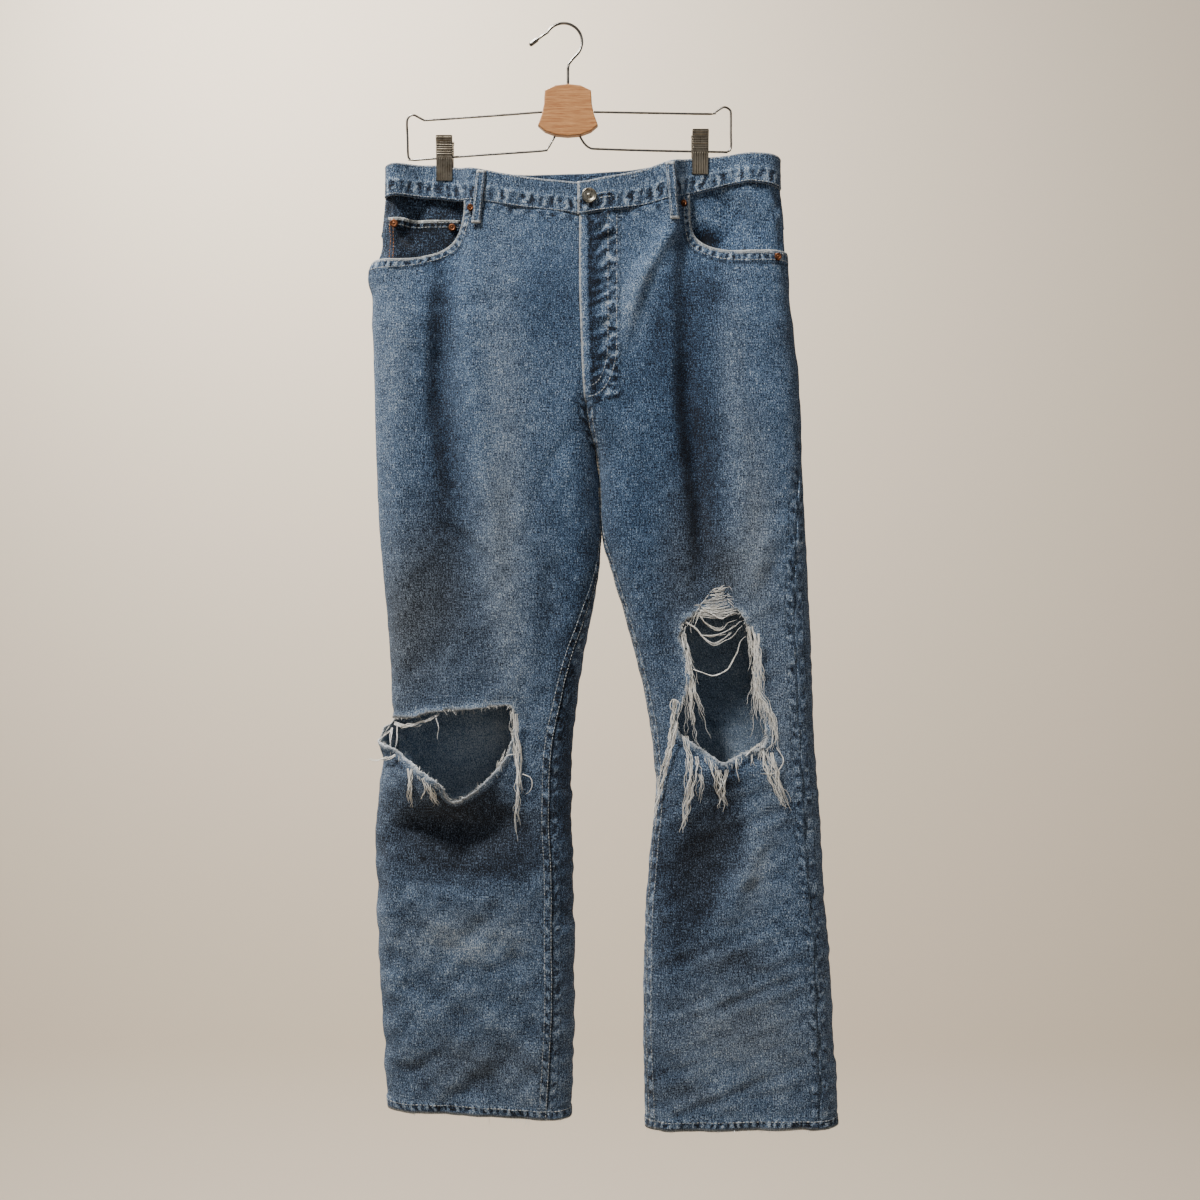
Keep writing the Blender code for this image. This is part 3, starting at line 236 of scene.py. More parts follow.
def hump(value, middle, half):
    return np.exp(-((value - middle) / half) ** 2)


def runOf(points):
    # the distance along a line of flat points, at each of them
    return np.concatenate([[0], np.cumsum(np.hypot(*np.diff(points, axis=0).T))])


def unit(vectors):
    return vectors / (np.linalg.norm(vectors, axis=1, keepdims=True) + 1e-9)


def outerEdge(leg, drop):
    return fromTable(garment[leg + "Outer"], 1, drop)


def innerEdge(leg, drop):
    return fromTable(garment["centre"] + garment[leg + "Inner"], 1, drop)


def spineDistance(x, drop, spine):
    # distance to a fold's spine, and how far along it the nearest point is
    best = np.full(np.shape(x), 1e9)
    where = np.zeros(np.shape(x))
    for k, ((x0, d0), (x1, d1)) in enumerate(zip(spine, spine[1:])):
        length = math.hypot(x1 - x0, d1 - d0)
        t = np.clip(((x - x0) * (x1 - x0) + (drop - d0) * (d1 - d0)) / length ** 2, 0.0, 1.0)
        gap = np.hypot(x - x0 - t * (x1 - x0), drop - d0 - t * (d1 - d0))
        closer = gap < best
        best = np.where(closer, gap, best)
        where = np.where(closer, (k + t) / (len(spine) - 1), where)
    return best, where


def ripples(x, y, seed, lengths, heights):
    # a sum of plane waves in random directions: slow, uneven rippling that repeats each run
    dice = random.Random(seed)
    x, y = np.broadcast_arrays(x, y)
    total = np.zeros(x.shape)
    for length, height in zip(lengths, heights):
        for _ in range(3):
            turn = dice.uniform(0, math.pi)
            phase = dice.uniform(0, 2 * math.pi)
            wave = 2 * math.pi / (length * dice.uniform(0.8, 1.25))
            total += height / 3 * np.sin(wave * (x * math.cos(turn) + y * math.sin(turn)) + phase)
    return total


def foldsAt(leg, face, x, drop):
    total = np.zeros(np.shape(x))
    for width, height, *spine in folds[leg, face]:
        gap, along = spineDistance(x, drop, pairs(spine))
        fade = np.sin(math.pi * np.clip(along, 0.02, 0.98)) ** 0.5
        total += height * fade * hump(gap, 0, width)
    return total


def relief(leg, face, x, drop):
    total = foldsAt(leg, face, x, drop)
    for mx, md, halfWidth, halfDrop, height in mounds[leg, face]:
        total += height * np.exp(-(((x - mx) / halfWidth) ** 2 + ((drop - md) / halfDrop) ** 2))
    seed = {"right": 11, "left": 23}[leg] + {"front": 0, "back": 5}[face]
    total += ripples(x, drop * 0.7, seed, (0.11, 0.055, 0.028), (0.0016, 0.0009, 0.0004))
    return total


def bulge(face, x, drop):
    column = {"front": 1, "back": 2}[face]
    full = fromTable(garment["depths"], column, drop)
    pinch = garment["pinch"]
    strength = (1 - pinch["half"] / full) * fall(drop, pinch["start"], pinch["end"])
    hold = np.zeros(np.shape(x))
    for clipX, outwardSign in garment["clips"]:
        outward = (x - clipX) * outwardSign
        width = np.where(outward > 0, pinch["outer"], pinch["inner"])
        hold = np.maximum(hold, np.exp(-(outward / width) ** 4))
    return full * (1 - strength * hold)


def faceCurves(leg, face, drops):
    # for each drop, points (x, y) from the outer folded edge to the inner one
    drops = np.asarray(drops, float)[:, None]
    outer, inner = outerEdge(leg, drops), innerEdge(leg, drops)
    share = fromTable(garment["depths"], 4, drops)
    turn = fromTable(garment["depths"], 3, drops)
    side = 1.0 if leg == "left" else -1.0
    inner = inner + side * ((garment["seamGap"] + garment["cloth"]) / 2 * (1 - share)
                            - garment["seamLap"] * share)
    width = np.abs(outer - inner)
    stop = np.arcsin(share)
    a = np.linspace(0, math.pi / 2, 13)[None, :]
    reach = [turn * (1 - np.cos(a))]
    height = [np.broadcast_to(np.sin(a), reach[0].shape)]
    t = np.linspace(0, 1, 80)[None, 1:]
    reach.append(turn + (width - turn * np.cos(stop) - turn) * t)
    height.append(np.ones_like(reach[1]))
    b = math.pi / 2 + (stop - math.pi / 2) * np.linspace(0, 1, 13)[None, 1:]
    reach.append(width - turn * (np.cos(stop) - np.cos(b)))
    height.append(np.sin(b))
    reach, height = np.hstack(reach), np.hstack(height)
    x = outer - side * reach
    level = np.broadcast_to(drops, x.shape)
    y = bulge(face, x, level) * height + relief(leg, face, x, level) * height ** 2
    return x, sign[face] * y


# panels as flat patterns
# A panel is kept as a table of points over (s, drop): s is the distance round the leg from
# its outer folded edge, so that (s, drop) is the cloth laid flat.
tableStep = 0.003
tableColumns = 120


def wholeRing(leg):
    drops = np.arange(0.150, 1.2801, tableStep)
    fx, fy = faceCurves(leg, "front", drops)
    bx, by = faceCurves(leg, "back", drops)
    x = np.hstack([fx, bx[:, ::-1]])
    y = np.hstack([fy, by[:, ::-1]])
    along = np.hstack([np.zeros((len(drops), 1)), np.cumsum(np.hypot(np.diff(x), np.diff(y)), axis=1)])
    n = fx.shape[1]
    return {"drops": drops, "x": x, "y": y, "along": along, "frontEnd": along[:, n - 1],
            "backStart": along[:, n]}


rings = {leg: wholeRing(leg) for leg in ("right", "left")}


def panelSpan(leg, face, drops):
    ring = rings[leg]
    frontEnd = np.interp(drops, ring["drops"], ring["frontEnd"])
    backStart = np.interp(drops, ring["drops"], ring["backStart"])
    whole = np.interp(drops, ring["drops"], ring["along"][:, -1])
    out = fromTable(garment[leg + "Seams"], 1, drops)
    inn = np.maximum(fromTable(garment[leg + "Seams"], 2, drops), 0.0)
    gap = -garment["seamLap"] / 2
    if face == "front":
        return out + gap, frontEnd - inn - gap
    return np.where(inn <= 0, backStart, frontEnd - inn) + gap, whole + out - gap


def waistLine(column, x):
    return fromTable(garment["waist"], column, x) - garment["seamLap"]


def yokeLine(leg, x):
    outer, inner = outerEdge(leg, 0.25), innerEdge(leg, 0.25)
    share = (outer - x) / (outer - inner)
    rise = garment["yokeCentre"] - garment["yokeSide"]
    return fromTable(garment["waist"], 4, x) + garment["yokeSide"] + rise * share


def hemLine(leg, x):
    base = garment["hem"][leg]
    outer, inner = outerEdge(leg, base), innerEdge(leg, base)
    return base + garment["hemSlope"][leg] * ((outer - x) / (outer - inner) - 0.5)


def between(ring, drop):
    # the row of the form's table above a drop, and the share of the way to the next row
    at = np.clip((drop - ring["drops"][0]) / tableStep, 0, len(ring["drops"]) - 1.001)
    row = np.asarray(at).astype(int)
    return row, at - row


def blend(table, k, t):
    return (1 - t) * table[k] + t * table[k + 1]


def makePattern(leg, face, first, last, top, bottom, reach=True):
    # the table of points of one panel, rows by nominal drop, columns by share of its width
    drops = np.linspace(first, last, int((last - first) / tableStep) + 2)
    start, end = panelSpan(leg, face, drops)
    share = np.linspace(0, 1, tableColumns)
    ring = rings[leg]
    points = np.zeros((len(drops), tableColumns, 3))

    def fillRow(r, s, k, t):
        total = blend(ring["along"], k, t)
        for axis, key in ((0, "x"), (1, "y")):
            points[r, :, axis] = np.interp(s, total, blend(ring[key], k, t), period=total[-1])

    for r, drop in enumerate(drops):
        fillRow(r, start[r] + (end[r] - start[r]) * share, *between(ring, drop))
    x = points[:, :, 0]
    level = drops[:, None]
    if reach:
        lift = (top(x) - first) * fall(level, first, first + garment["topReach"])
        sag = (bottom(x) - last) * ease(level, last - garment["hemReach"], last)
        points[:, :, 2] = -(level + lift + sag)
    else:
        t = (level - first) / (last - first)
        points[:, :, 2] = -(top(x) * (1 - t) + bottom(x) * t)
    # the ring of the height where each point has come to lie
    for r in np.nonzero(np.abs(points[:, :, 2] + level).max(axis=1) > 0.0002)[0]:
        first, last = panelSpan(leg, face, -points[r, :, 2])
        there = first + share * (last - first)
        for c, (k, t) in enumerate(zip(*between(ring, -points[r, :, 2]))):
            total = blend(ring["along"], k, t)
            for axis, key in ((0, "x"), (1, "y")):
                points[r, c, axis] = np.interp(there[c], total, blend(ring[key], k, t), period=total[-1])
    normal = np.cross(np.gradient(points, axis=1), np.gradient(points, axis=0))
    normal /= np.linalg.norm(normal, axis=2, keepdims=True) + 1e-12
    if normal[len(drops) // 2, tableColumns // 2, 1] * sign[face] < 0:
        normal = -normal
    return {"leg": leg, "face": face, "drops": drops, "start": start, "end": end, "points": points,
            "normals": normal}


def edgeAt(pattern, key, drop):
    # where a panel starts or ends at a drop
    return np.interp(drop, pattern["drops"], pattern[key])


def sample(pattern, s, drop, table="points"):
    # points or normals of a pattern at flat positions
    start, end = edgeAt(pattern, "start", drop), edgeAt(pattern, "end", drop)
    u = np.clip((s - start) / (end - start), 0, 1) * (tableColumns - 1)
    n = len(pattern["drops"])
    v = np.clip((drop - pattern["drops"][0]) / (pattern["drops"][-1] - pattern["drops"][0]), 0, 1) * (n - 1)
    i = np.minimum(v.astype(int), n - 2)
    j = np.minimum(u.astype(int), tableColumns - 2)
    a, b = (v - i)[..., None], (u - j)[..., None]
    grid = pattern[table]
    upper = grid[i, j] * (1 - b) + grid[i, j + 1] * b
    lower = grid[i + 1, j] * (1 - b) + grid[i + 1, j + 1] * b
    return upper * (1 - a) + lower * a


def flatAt(pattern, x, drop):
    # the flat position of the point of a panel's own face that shows at this x and drop
    x, drop = np.atleast_1d(np.asarray(x, float)), np.atleast_1d(np.asarray(drop, float))
    ring = rings[pattern["leg"]]
    level = drop.copy()
    s = np.zeros_like(x)
    n = ring["x"].shape[1] // 2
    part = slice(0, n) if pattern["face"] == "front" else slice(n, 2 * n)
    for k in range(len(x)):
        i, t = between(ring, drop[k])
        xs, al = blend(ring["x"], i, t)[part], blend(ring["along"], i, t)[part]
        if xs[0] > xs[-1]:
            xs, al = xs[::-1], al[::-1]
        s[k] = np.interp(x[k], xs, al)
        if pattern["face"] == "front" and (x[k] < xs[0] or x[k] > xs[-1]):
            beyond = (x[k] - xs[0]) if x[k] < xs[0] else (x[k] - xs[-1])
            s[k] = s[k] - abs(beyond) if abs(s[k]) < 0.02 else s[k] + abs(beyond)
    first, last = panelSpan(pattern["leg"], pattern["face"], drop)
    share = (s - first) / (last - first)
    for _ in range(5):
        start, end = edgeAt(pattern, "start", level), edgeAt(pattern, "end", level)
        s = start + share * (end - start)
        level = level + drop + sample(pattern, s, level)[:, 2]
    if pattern["face"] == "back":
        for _ in range(6):
            here, beside = sample(pattern, s, level), sample(pattern, s + 0.001, level)
            slope = (beside[:, 0] - here[:, 0]) / 0.001
            slope = np.where(np.abs(slope) < 0.3, np.inf, slope)
            s = s + np.clip((x - here[:, 0]) / slope, -0.002, 0.002)
            level = level + drop + sample(pattern, s, level)[:, 2]
    return s, level


patterns = {}
for legName in ("right", "left"):
    yokeStart = garment["bandSeam"] + (garment["yokeSide"] + garment["yokeCentre"]) / 2
    patterns["front_panel_" + legName] = makePattern(
        legName, "front", garment["bandSeam"], garment["hem"][legName],
        lambda x: waistLine(2, x), lambda x, leg=legName: hemLine(leg, x))
    patterns["back_panel_" + legName] = makePattern(
        legName, "back", yokeStart, garment["hem"][legName],
        lambda x, leg=legName: yokeLine(leg, x), lambda x, leg=legName: hemLine(leg, x))
    patterns["back_yoke_" + legName] = makePattern(
        legName, "back", garment["bandSeam"], yokeStart,
        lambda x: waistLine(4, x), lambda x, leg=legName: yokeLine(leg, x) + garment["seamLap"], reach=False)
print("patterns ready")


# materials
class Wire:
    # a shader's output socket that can be added, subtracted and multiplied
    def __init__(self, tree, socket):
        self.tree, self.socket = tree, socket

    def math(self, operation, other=None, clamp=False):
        given = {0: self} if other is None else {0: self, 1: other}
        return node(self.tree, "ShaderNodeMath", given, operation=operation, use_clamp=clamp)[0]

    def __add__(self, other):
        return self.math("ADD", other)

    def __sub__(self, other):
        return self.math("SUBTRACT", other)

    def __mul__(self, other):
        return self.math("MULTIPLY", other)


class Outputs:
    # a node's outputs, by position or name
    def __init__(self, tree, made):
        self.tree, self.made = tree, made

    def __getitem__(self, key):
        return Wire(self.tree, self.made.outputs[key])


def connect(tree, value, socket):
    value = getattr(value, "socket", value)
    if isinstance(value, bpy.types.NodeSocket):
        tree.links.new(value, socket)
    else:
        socket.default_value = value


def newGroup(name, inputs, outputs, kind="ShaderNodeTree"):
    tree = bpy.data.node_groups.new(name, kind)
    for side, sockets in (("INPUT", inputs), ("OUTPUT", outputs)):
        for label, value in sockets.items():
            words = {str: value, int: "Int", float: "Float"}
            socket = tree.interface.new_socket(label, in_out=side,
                                               socket_type="NodeSocket" + words[type(value)])
            if not isinstance(value, str):
                socket.default_value = value
    return tree, Outputs(tree, tree.nodes.new("NodeGroupInput")), tree.nodes.new("NodeGroupOutput")


def node(tree, kind, inputs=None, **settings):
    # adds a node, sets its properties, then its sockets by value or by link
    made = tree.nodes.new(kind)
    for key, value in settings.items():
        setattr(made, key, value)
    for key, value in (inputs or {}).items():
        connect(tree, value, made.inputs[key])
    return Outputs(tree, made)


def noiseAt(vector, scale, detail=2.0, roughness=0.55):
    given = {"Vector": vector, "Scale": scale, "Detail": detail, "Roughness": roughness}
    return node(vector.tree, "ShaderNodeTexNoise", given)["Fac"]


def stretch(vector, scale):
    return node(vector.tree, "ShaderNodeMapping",
                {"Vector": vector, "Scale": scale, "Rotation": (0, 0, 0)})[0]


def rangeOf(value, fromLow, fromHigh, toLow, toHigh):
    return node(value.tree, "ShaderNodeMapRange", {0: value, 1: fromLow, 2: fromHigh, 3: toLow, 4: toHigh})[0]


def mixColour(factor, a, b):
    return node(factor.tree, "ShaderNodeMix", {0: factor, 6: a, 7: b}, data_type="RGBA")[2]


def makeWeave():
    # twill lines, uneven yarns and salt-and-pepper speckle, from a UV map in metres
    tree, given, out = newGroup("denimWeave", {"Flat": "Vector"},
                                dict.fromkeys(("Speckle", "Slub", "Mottle", "Height"), "Float"))
    flat = given["Flat"]
    speckle = noiseAt(stretch(flat, (1050.0, 520.0, 1.0)), 1.0, 2.0, 0.75)
    fineSlub = noiseAt(stretch(flat, (900.0, 95.0, 1.0)), 1.0, 2.0, 0.6)
    slub = noiseAt(stretch(flat, (330.0, 26.0, 1.0)), 1.0, 2.0, 0.6)
    weft = noiseAt(stretch(flat, (60.0, 700.0, 1.0)), 1.0, 2.0, 0.6)
    mottle = noiseAt(flat, 55.0, 4.0, 0.62)
    twist = noiseAt(flat, 160.0, 2.0)
    separate = node(tree, "ShaderNodeSeparateXYZ", {0: flat})
    diagonal = separate[0] * 5600.0 + separate[1] * 3500.0
    twill = (diagonal + twist * 7.0).math("SINE") * 0.5
    mixed = rangeOf(speckle, 0.36, 0.64, -1.7, 1.7) + rangeOf(fineSlub, 0.3, 0.7, -0.9, 0.9)
    mixed = mixed + rangeOf(weft, 0.3, 0.7, -0.35, 0.35)
    mixed = mixed + twill * 0.55
    connect(tree, mixed, out.inputs["Speckle"])
    connect(tree, rangeOf(slub, 0.3, 0.7, -1.0, 1.0), out.inputs["Slub"])
    connect(tree, rangeOf(mottle, 0.3, 0.7, -1.0, 1.0), out.inputs["Mottle"])
    connect(tree, mixed * 0.5 + twill, out.inputs["Height"])
    return tree


def makePucker():
    # dark troughs and pale ridges where a stitched seam has shrunk: how near the seam is, the
    # count of puckers along it and the share across its width
    tree, given, out = newGroup("seamPucker", {"Near": 0.0, "Run": 0.0, "Off": 0.0, "Flat": "Vector"},
                                dict.fromkeys(("Dark", "Light", "Height"), "Float"))
    near, run, off, flat = (given[k] for k in range(4))
    uneven = noiseAt(flat, 75.0, 2.0)
    phase = run * (2 * math.pi) + off * 1.8
    phase = phase + uneven * 9.0
    slower = (run * 3.7 + uneven * 14.0).math("SINE")
    wave = phase.math("SINE") * 0.75 + slower * 0.5
    across = (off * math.pi).math("SINE", clamp=True)
    wave = wave + rangeOf(noiseAt(flat, 420.0, 3.0, 0.7), 0.3, 0.7, -0.45, 0.45)
    dark = rangeOf(wave, -0.1, 0.8, 0.0, 1.0) * across * near
    light = rangeOf(wave, -0.1, -0.8, 0.0, 1.0) * near
    connect(tree, dark, out.inputs["Dark"])
    connect(tree, light, out.inputs["Light"])
    connect(tree, light - dark * 0.8, out.inputs["Height"])
    return tree


weaveGroup = makeWeave()
puckerGroup = makePucker()


def linear(r, g, b):
    return tuple(((c / 255 + 0.055) / 1.055) ** 2.4 if c > 10.3 else c / 255 / 12.92
                 for c in (r, g, b)) + (1.0,)


def startMaterial(name, **values):
    # a new material, its tree and its shader's sockets, with some of them set
    made = bpy.data.materials.new(name)
    made.use_nodes = True
    sockets = made.node_tree.nodes["Principled BSDF"].inputs
    for key, value in values.items():
        sockets[key.replace("_", " ")].default_value = value
    return made, made.node_tree, sockets


def bumped(tree, **values):
    return node(tree, "ShaderNodeBump", values)[0]


def rampOf(value, *stops):
    # colours at positions; the first two are the ramp's own ends
    ramp = node(value.tree, "ShaderNodeValToRGB", {0: value})
    elements = ramp.made.color_ramp.elements
    for k, (spot, colour) in enumerate(stops):
        element = elements[k] if k < 2 else elements.new(spot)
        element.position, element.color = spot, linear(*colour)
    return ramp[0]


def objectPlace(tree):
    return node(tree, "ShaderNodeTexCoord")["Object"]


def attribute(tree, name):
    return node(tree, "ShaderNodeAttribute", attribute_name=name)["Fac"]


def denim(name, look):
    # worn denim: deep and pale yarns mixed by fade, weave, puckers, wear and fray, with painted light and
    # shade from the fade and dark marks
    made, tree, shader = startMaterial(
        name, Roughness=0.92, Metallic=0.0, Sheen_Weight=0.08, Sheen_Roughness=0.6, Specular_IOR_Level=0.12)
    flat = node(tree, "ShaderNodeUVMap", uv_map="flat")[0]
    weave = node(tree, "ShaderNodeGroup", node_tree=weaveGroup)
    connect(tree, flat, weave.made.inputs[0])
    pucker = node(tree, "ShaderNodeGroup", node_tree=puckerGroup)
    for k, key in enumerate(("seam", "run", "off")):
        connect(tree, attribute(tree, key), pucker.made.inputs[k])
    connect(tree, flat, pucker.made.inputs[3])
    fade, dark, fray, grey = (attribute(tree, key) for key in ("fade", "dark", "fray", "grey"))
    value = weave["Speckle"] * look["speckle"] + weave["Slub"] * look["slub"]
    value = value + weave["Mottle"] * look["mottle"]
    # fade holds fading with painted highlights and shadows; dark is painted shade
    value = value + fade * look["fade"]
    value = value - dark * look["dark"]
    value = value - pucker["Dark"] * look["pucker"]
    value = value + pucker["Light"] * look["puckerLight"]
    value = value.math("ADD", look["base"], clamp=True)
    colour = rampOf(value, (0.0, look["deep"]), (1.0, look["pale"]), (0.35, look["mid"]),
                    (0.65, look["light"]))
    share = grey * 0.55
    colour = mixColour(share, colour, mixColour(value, linear(26, 31, 36), linear(196, 200, 200)))
    fringe = fray.math("MULTIPLY", rangeOf(weave["Speckle"], -1.2, 0.6, 0.55, 1.0), clamp=True)
    connect(tree, mixColour(fringe, colour, linear(*look["frayColour"])), shader["Base Color"])
    height = weave["Height"] + weave["Slub"] * 0.6
    folds = bumped(tree, Height=pucker["Height"], Strength=0.9, Distance=0.0011)
    connect(tree, bumped(tree, Height=height, Strength=look["bump"], Distance=0.00045, Normal=folds),
            shader["Normal"])
    return made


denimLook = {
    "base": 0.35, "speckle": 0.25, "slub": 0.05, "mottle": 0.065, "fade": 0.34, "dark": 0.36, "pucker": 0.44,
    "puckerLight": 0.27, "bump": 0.7,
    "deep": (6, 12, 24), "mid": (58, 83, 116), "light": (114, 141, 171), "pale": (214, 222, 228),
    "frayColour": (222, 222, 216),
}
# pocket cloth: darker as less faded cloth, and darker still as painted shade inside the pockets
pocketLook = dict(denimLook, base=0.12, fade=0.34, mottle=0.09, deep=(4, 8, 16), mid=(40, 58, 84))
reverseLook = dict(denimLook, base=0.58, speckle=0.20, fade=0.34, dark=0.2, pucker=0.2, mid=(84, 108, 134))


def yarnMaterial():
    made, tree, shader = startMaterial("loose yarn", Roughness=0.9, Metallic=0.0, Sheen_Weight=0.15,
                                       Specular_IOR_Level=0.15)
    place = objectPlace(tree)
    broad, fine = noiseAt(place, 90.0), noiseAt(place, 1400.0)
    tone = broad * 0.75 + fine * 0.4
    connect(tree, rampOf(tone, (0.34, (226, 220, 206)), (0.72, (255, 253, 248))), shader["Base Color"])
    connect(tree, bumped(tree, Height=fine, Strength=0.5, Distance=0.0003), shader["Normal"])
    return made


def threadMaterial(name, dull, bright):
    made, tree, shader = startMaterial(name, Roughness=0.7, Metallic=0.0)
    connect(tree, rampOf(noiseAt(objectPlace(tree), 260.0, 3.0), (0.36, dull), (0.62, bright)),
            shader["Base Color"])
    return made


def metal(name, dark, bright, roughness, scale, stretched=(1.0, 1.0, 1.0), bump=0.2):
    # metal with tarnish in patches and fine scratches
    made, tree, shader = startMaterial(name, Roughness=roughness, Metallic=1.0)
    place = objectPlace(tree)
    patches = noiseAt(place, scale, 4.0, 0.6)
    scratches = noiseAt(stretch(place, tuple(900.0 * k for k in stretched)), 1.0)
    both = patches * 0.7 + scratches * 0.3
    connect(tree, mixColour(rangeOf(both, 0.38, 0.62, 0.0, 1.0), linear(*dark), linear(*bright)),
            shader["Base Color"])
    connect(tree, rangeOf(both, 0.3, 0.7, min(roughness + 0.2, 1.0), max(roughness - 0.12, 0.05)),
            shader["Roughness"])
    connect(tree, bumped(tree, Height=scratches, Strength=bump, Distance=0.0001), shader["Normal"])
    return made


def woodMaterial():
    made, tree, shader = startMaterial("satin wood", Roughness=0.42, Metallic=0.0)
    place = objectPlace(tree)
    grain = noiseAt(stretch(place, (45.0, 300.0, 700.0)), 1.0, 4.0, 0.6)
    fleck = noiseAt(stretch(place, (160.0, 900.0, 2600.0)), 1.0)
    tone = rangeOf(grain * 0.7 + fleck * 0.3, 0.36, 0.64, 0.0, 1.0)
    connect(tree, mixColour(tone, linear(150, 92, 48), linear(198, 142, 88)), shader["Base Color"])
    connect(tree, bumped(tree, Height=fleck, Strength=0.15, Distance=0.0002), shader["Normal"])
    return made


materials = {
    "denim": denim("washed denim", denimLook),
    "pocket": denim("pocket denim", pocketLook),
    "reverse": denim("denim's wrong side", reverseLook),
    "yarn": yarnMaterial(),
    "paleThread": threadMaterial("pale thread", (96, 106, 118), (206, 208, 206)),
    "orangeThread": threadMaterial("orange thread", (120, 74, 38), (190, 128, 70)),
    "copper": metal("tarnished copper", (40, 24, 16), (150, 96, 66), 0.45, 300.0),
    "nickel": metal("worn nickel", (70, 66, 58), (176, 170, 156), 0.34, 380.0),
    "clip": metal("clip steel", (96, 88, 76), (158, 148, 132), 0.34, 90.0, (1.0, 1.0, 0.06), 0.05),
    "wire": metal("dark wire", (70, 66, 62), (150, 146, 140), 0.30, 160.0, bump=0.06),
    "wood": woodMaterial(),
}
print("materials ready")


# sheets of cloth
def ringOf(points, step, jag=0.0, seed=1):
    # a closed outline resampled at even steps, with a ragged offset
    points = np.array(list(points) + [points[0]], float)
    along = runOf(points)
    count = max(int(along[-1] / step), 8)
    at = np.linspace(0, along[-1], count, endpoint=False)
    result = np.stack([np.interp(at, along, points[:, k]) for k in (0, 1)], axis=1)
    if jag:
        dice = np.random.default_rng(seed)
        tangent = unit(np.roll(result, -1, axis=0) - np.roll(result, 1, axis=0))
        rough = dice.normal(0, 1, count)
        rough = 0.6 * rough + 0.4 * np.roll(rough, 1)
        result = result + np.stack([-tangent[:, 1], tangent[:, 0]], axis=1) * (rough * jag)[:, None]
    return result


def rounded(points, per=6):
    # a closed Catmull-Rom curve through points
    points = [np.array(p, float) for p in points]
    n = len(points)
    result = []
    for k in range(n):
        a, b, c, d = (points[(k + j) % n] for j in (-1, 0, 1, 2))
        for step in range(per):
            t = step / per
            result.append(b + 0.5 * ((c - a) * t + (2 * a - 5 * b + 4 * c - d) * t ** 2
                                     + (3 * b - 3 * c + d - a) * t ** 3))
    return np.array(result)


def inside(points, outline):
    result = np.zeros(len(points), bool)
    x, y = points[:, 0], points[:, 1]
    x0, y0 = outline[-1]
    for x1, y1 in outline:
        crosses = (y0 > y) != (y1 > y)
        if crosses.any():
            at = x0 + (y[crosses] - y0) * (x1 - x0) / (y1 - y0 + 1e-18)
            flips = np.zeros(len(points), bool)
            flips[np.where(crosses)[0]] = x[crosses] < at
            result ^= flips
        x0, y0 = x1, y1
    return result


def alongLine(points, line, limit=0.05):
    # distance from flat points to a line of flat points, up to a limit, and how far along it
    best = np.full(len(points), limit)
    where = np.zeros(len(points))
    done = 0.0
    for (x0, y0), (x1, y1) in zip(line, line[1:]):
        dx, dy = x1 - x0, y1 - y0
        length = math.hypot(dx, dy)
        near = np.where((points[:, 0] > min(x0, x1) - limit) & (points[:, 0] < max(x0, x1) + limit)
                        & (points[:, 1] > min(y0, y1) - limit) & (points[:, 1] < max(y0, y1) + limit))[0]
        p = points[near]
        t = np.clip(((p[:, 0] - x0) * dx + (p[:, 1] - y0) * dy) / (length ** 2 + 1e-18), 0, 1)
        gap = np.hypot(p[:, 0] - x0 - t * dx, p[:, 1] - y0 - t * dy)
        closer = gap < best[near]
        best[near[closer]] = gap[closer]
        where[near[closer]] = done + t[closer] * length
        done += length
    return best, where


def distanceTo(points, line, limit=0.05):
    return alongLine(points, line, limit)[0]


def nearSeams(seams, count):
    # the strongest of several seams at each point: gap, along, pucker length, inner edge, outer
    # edge and strength
    strength, run, off = np.zeros(count), np.zeros(count), np.zeros(count)
    for gap, along, pitch, low, high, amount in seams:
        weight = amount * ease(gap, low - 0.001, low + 0.0005) * fall(gap, high - 0.0015, high + 0.0015)
        closer = weight > strength
        strength = np.where(closer, weight, strength)
        run = np.where(closer, along / pitch, run)
        off = np.where(closer, np.clip((gap - low) / (high - low), 0, 1), off)
    return {"seam": strength, "run": run, "off": off}


def panelOutline(pattern, step):
    drops = pattern["drops"]
    levels = np.append(np.arange(drops[0], drops[-1], step), drops[-1])
    start, end = edgeAt(pattern, "start", levels), edgeAt(pattern, "end", levels)

    def level(k):
        across = np.linspace(start[k], end[k], int((end[k] - start[k]) / step) + 1)[1:-1]
        return [(s, levels[k]) for s in across]

    return np.array(list(zip(start, levels)) + level(-1) + list(zip(end, levels))[::-1] + level(0)[::-1])


def closed(line):
    return np.vstack([line, line[:1]])


def triangulate(outline, holes, step):
    # an even grid of flat points inside an outline, joined with it into triangles
    low, high = outline.min(0), outline.max(0)
    xs = np.arange(low[0] + step / 2, high[0], step)
    ys = np.arange(low[1] + step / 2, high[1], step)
    gx, gy = np.meshgrid(xs, ys)
    gx = gx + (np.arange(len(ys)) % 2)[:, None] * step / 2
    grid = np.stack([gx.ravel(), gy.ravel()], axis=1)
    keep = inside(grid, outline)
    for hole in holes:
        keep &= ~inside(grid, hole)
    grid = grid[keep]
    for line in [outline] + list(holes):
        grid = grid[distanceTo(grid, closed(line), step * 1.2) > step * 0.45]
    points = [grid]
    edges = []
    count = len(grid)
    for line in [outline] + list(holes):
        points.append(line)
        n = len(line)
        edges += [(count + k, count + (k + 1) % n) for k in range(n)]
        count += n
    allPoints = np.vstack(points)
    verts, _, faces, _, _, _ = geometry.delaunay_2d_cdt([Vector(p) for p in allPoints], edges, [], 0, 1e-7)
    verts = np.array([tuple(v) for v in verts])
    faces = np.array(faces)
    centre = verts[faces].mean(axis=1)
    keep = inside(centre, outline)
    for hole in holes:
        keep &= ~inside(centre, hole)
    faces = faces[keep]
    used = np.unique(faces)
    remap = np.full(len(verts), -1)
    remap[used] = np.arange(len(used))
    return verts[used], remap[faces]


def link(made):
    bpy.context.scene.collection.objects.link(made)
    return made


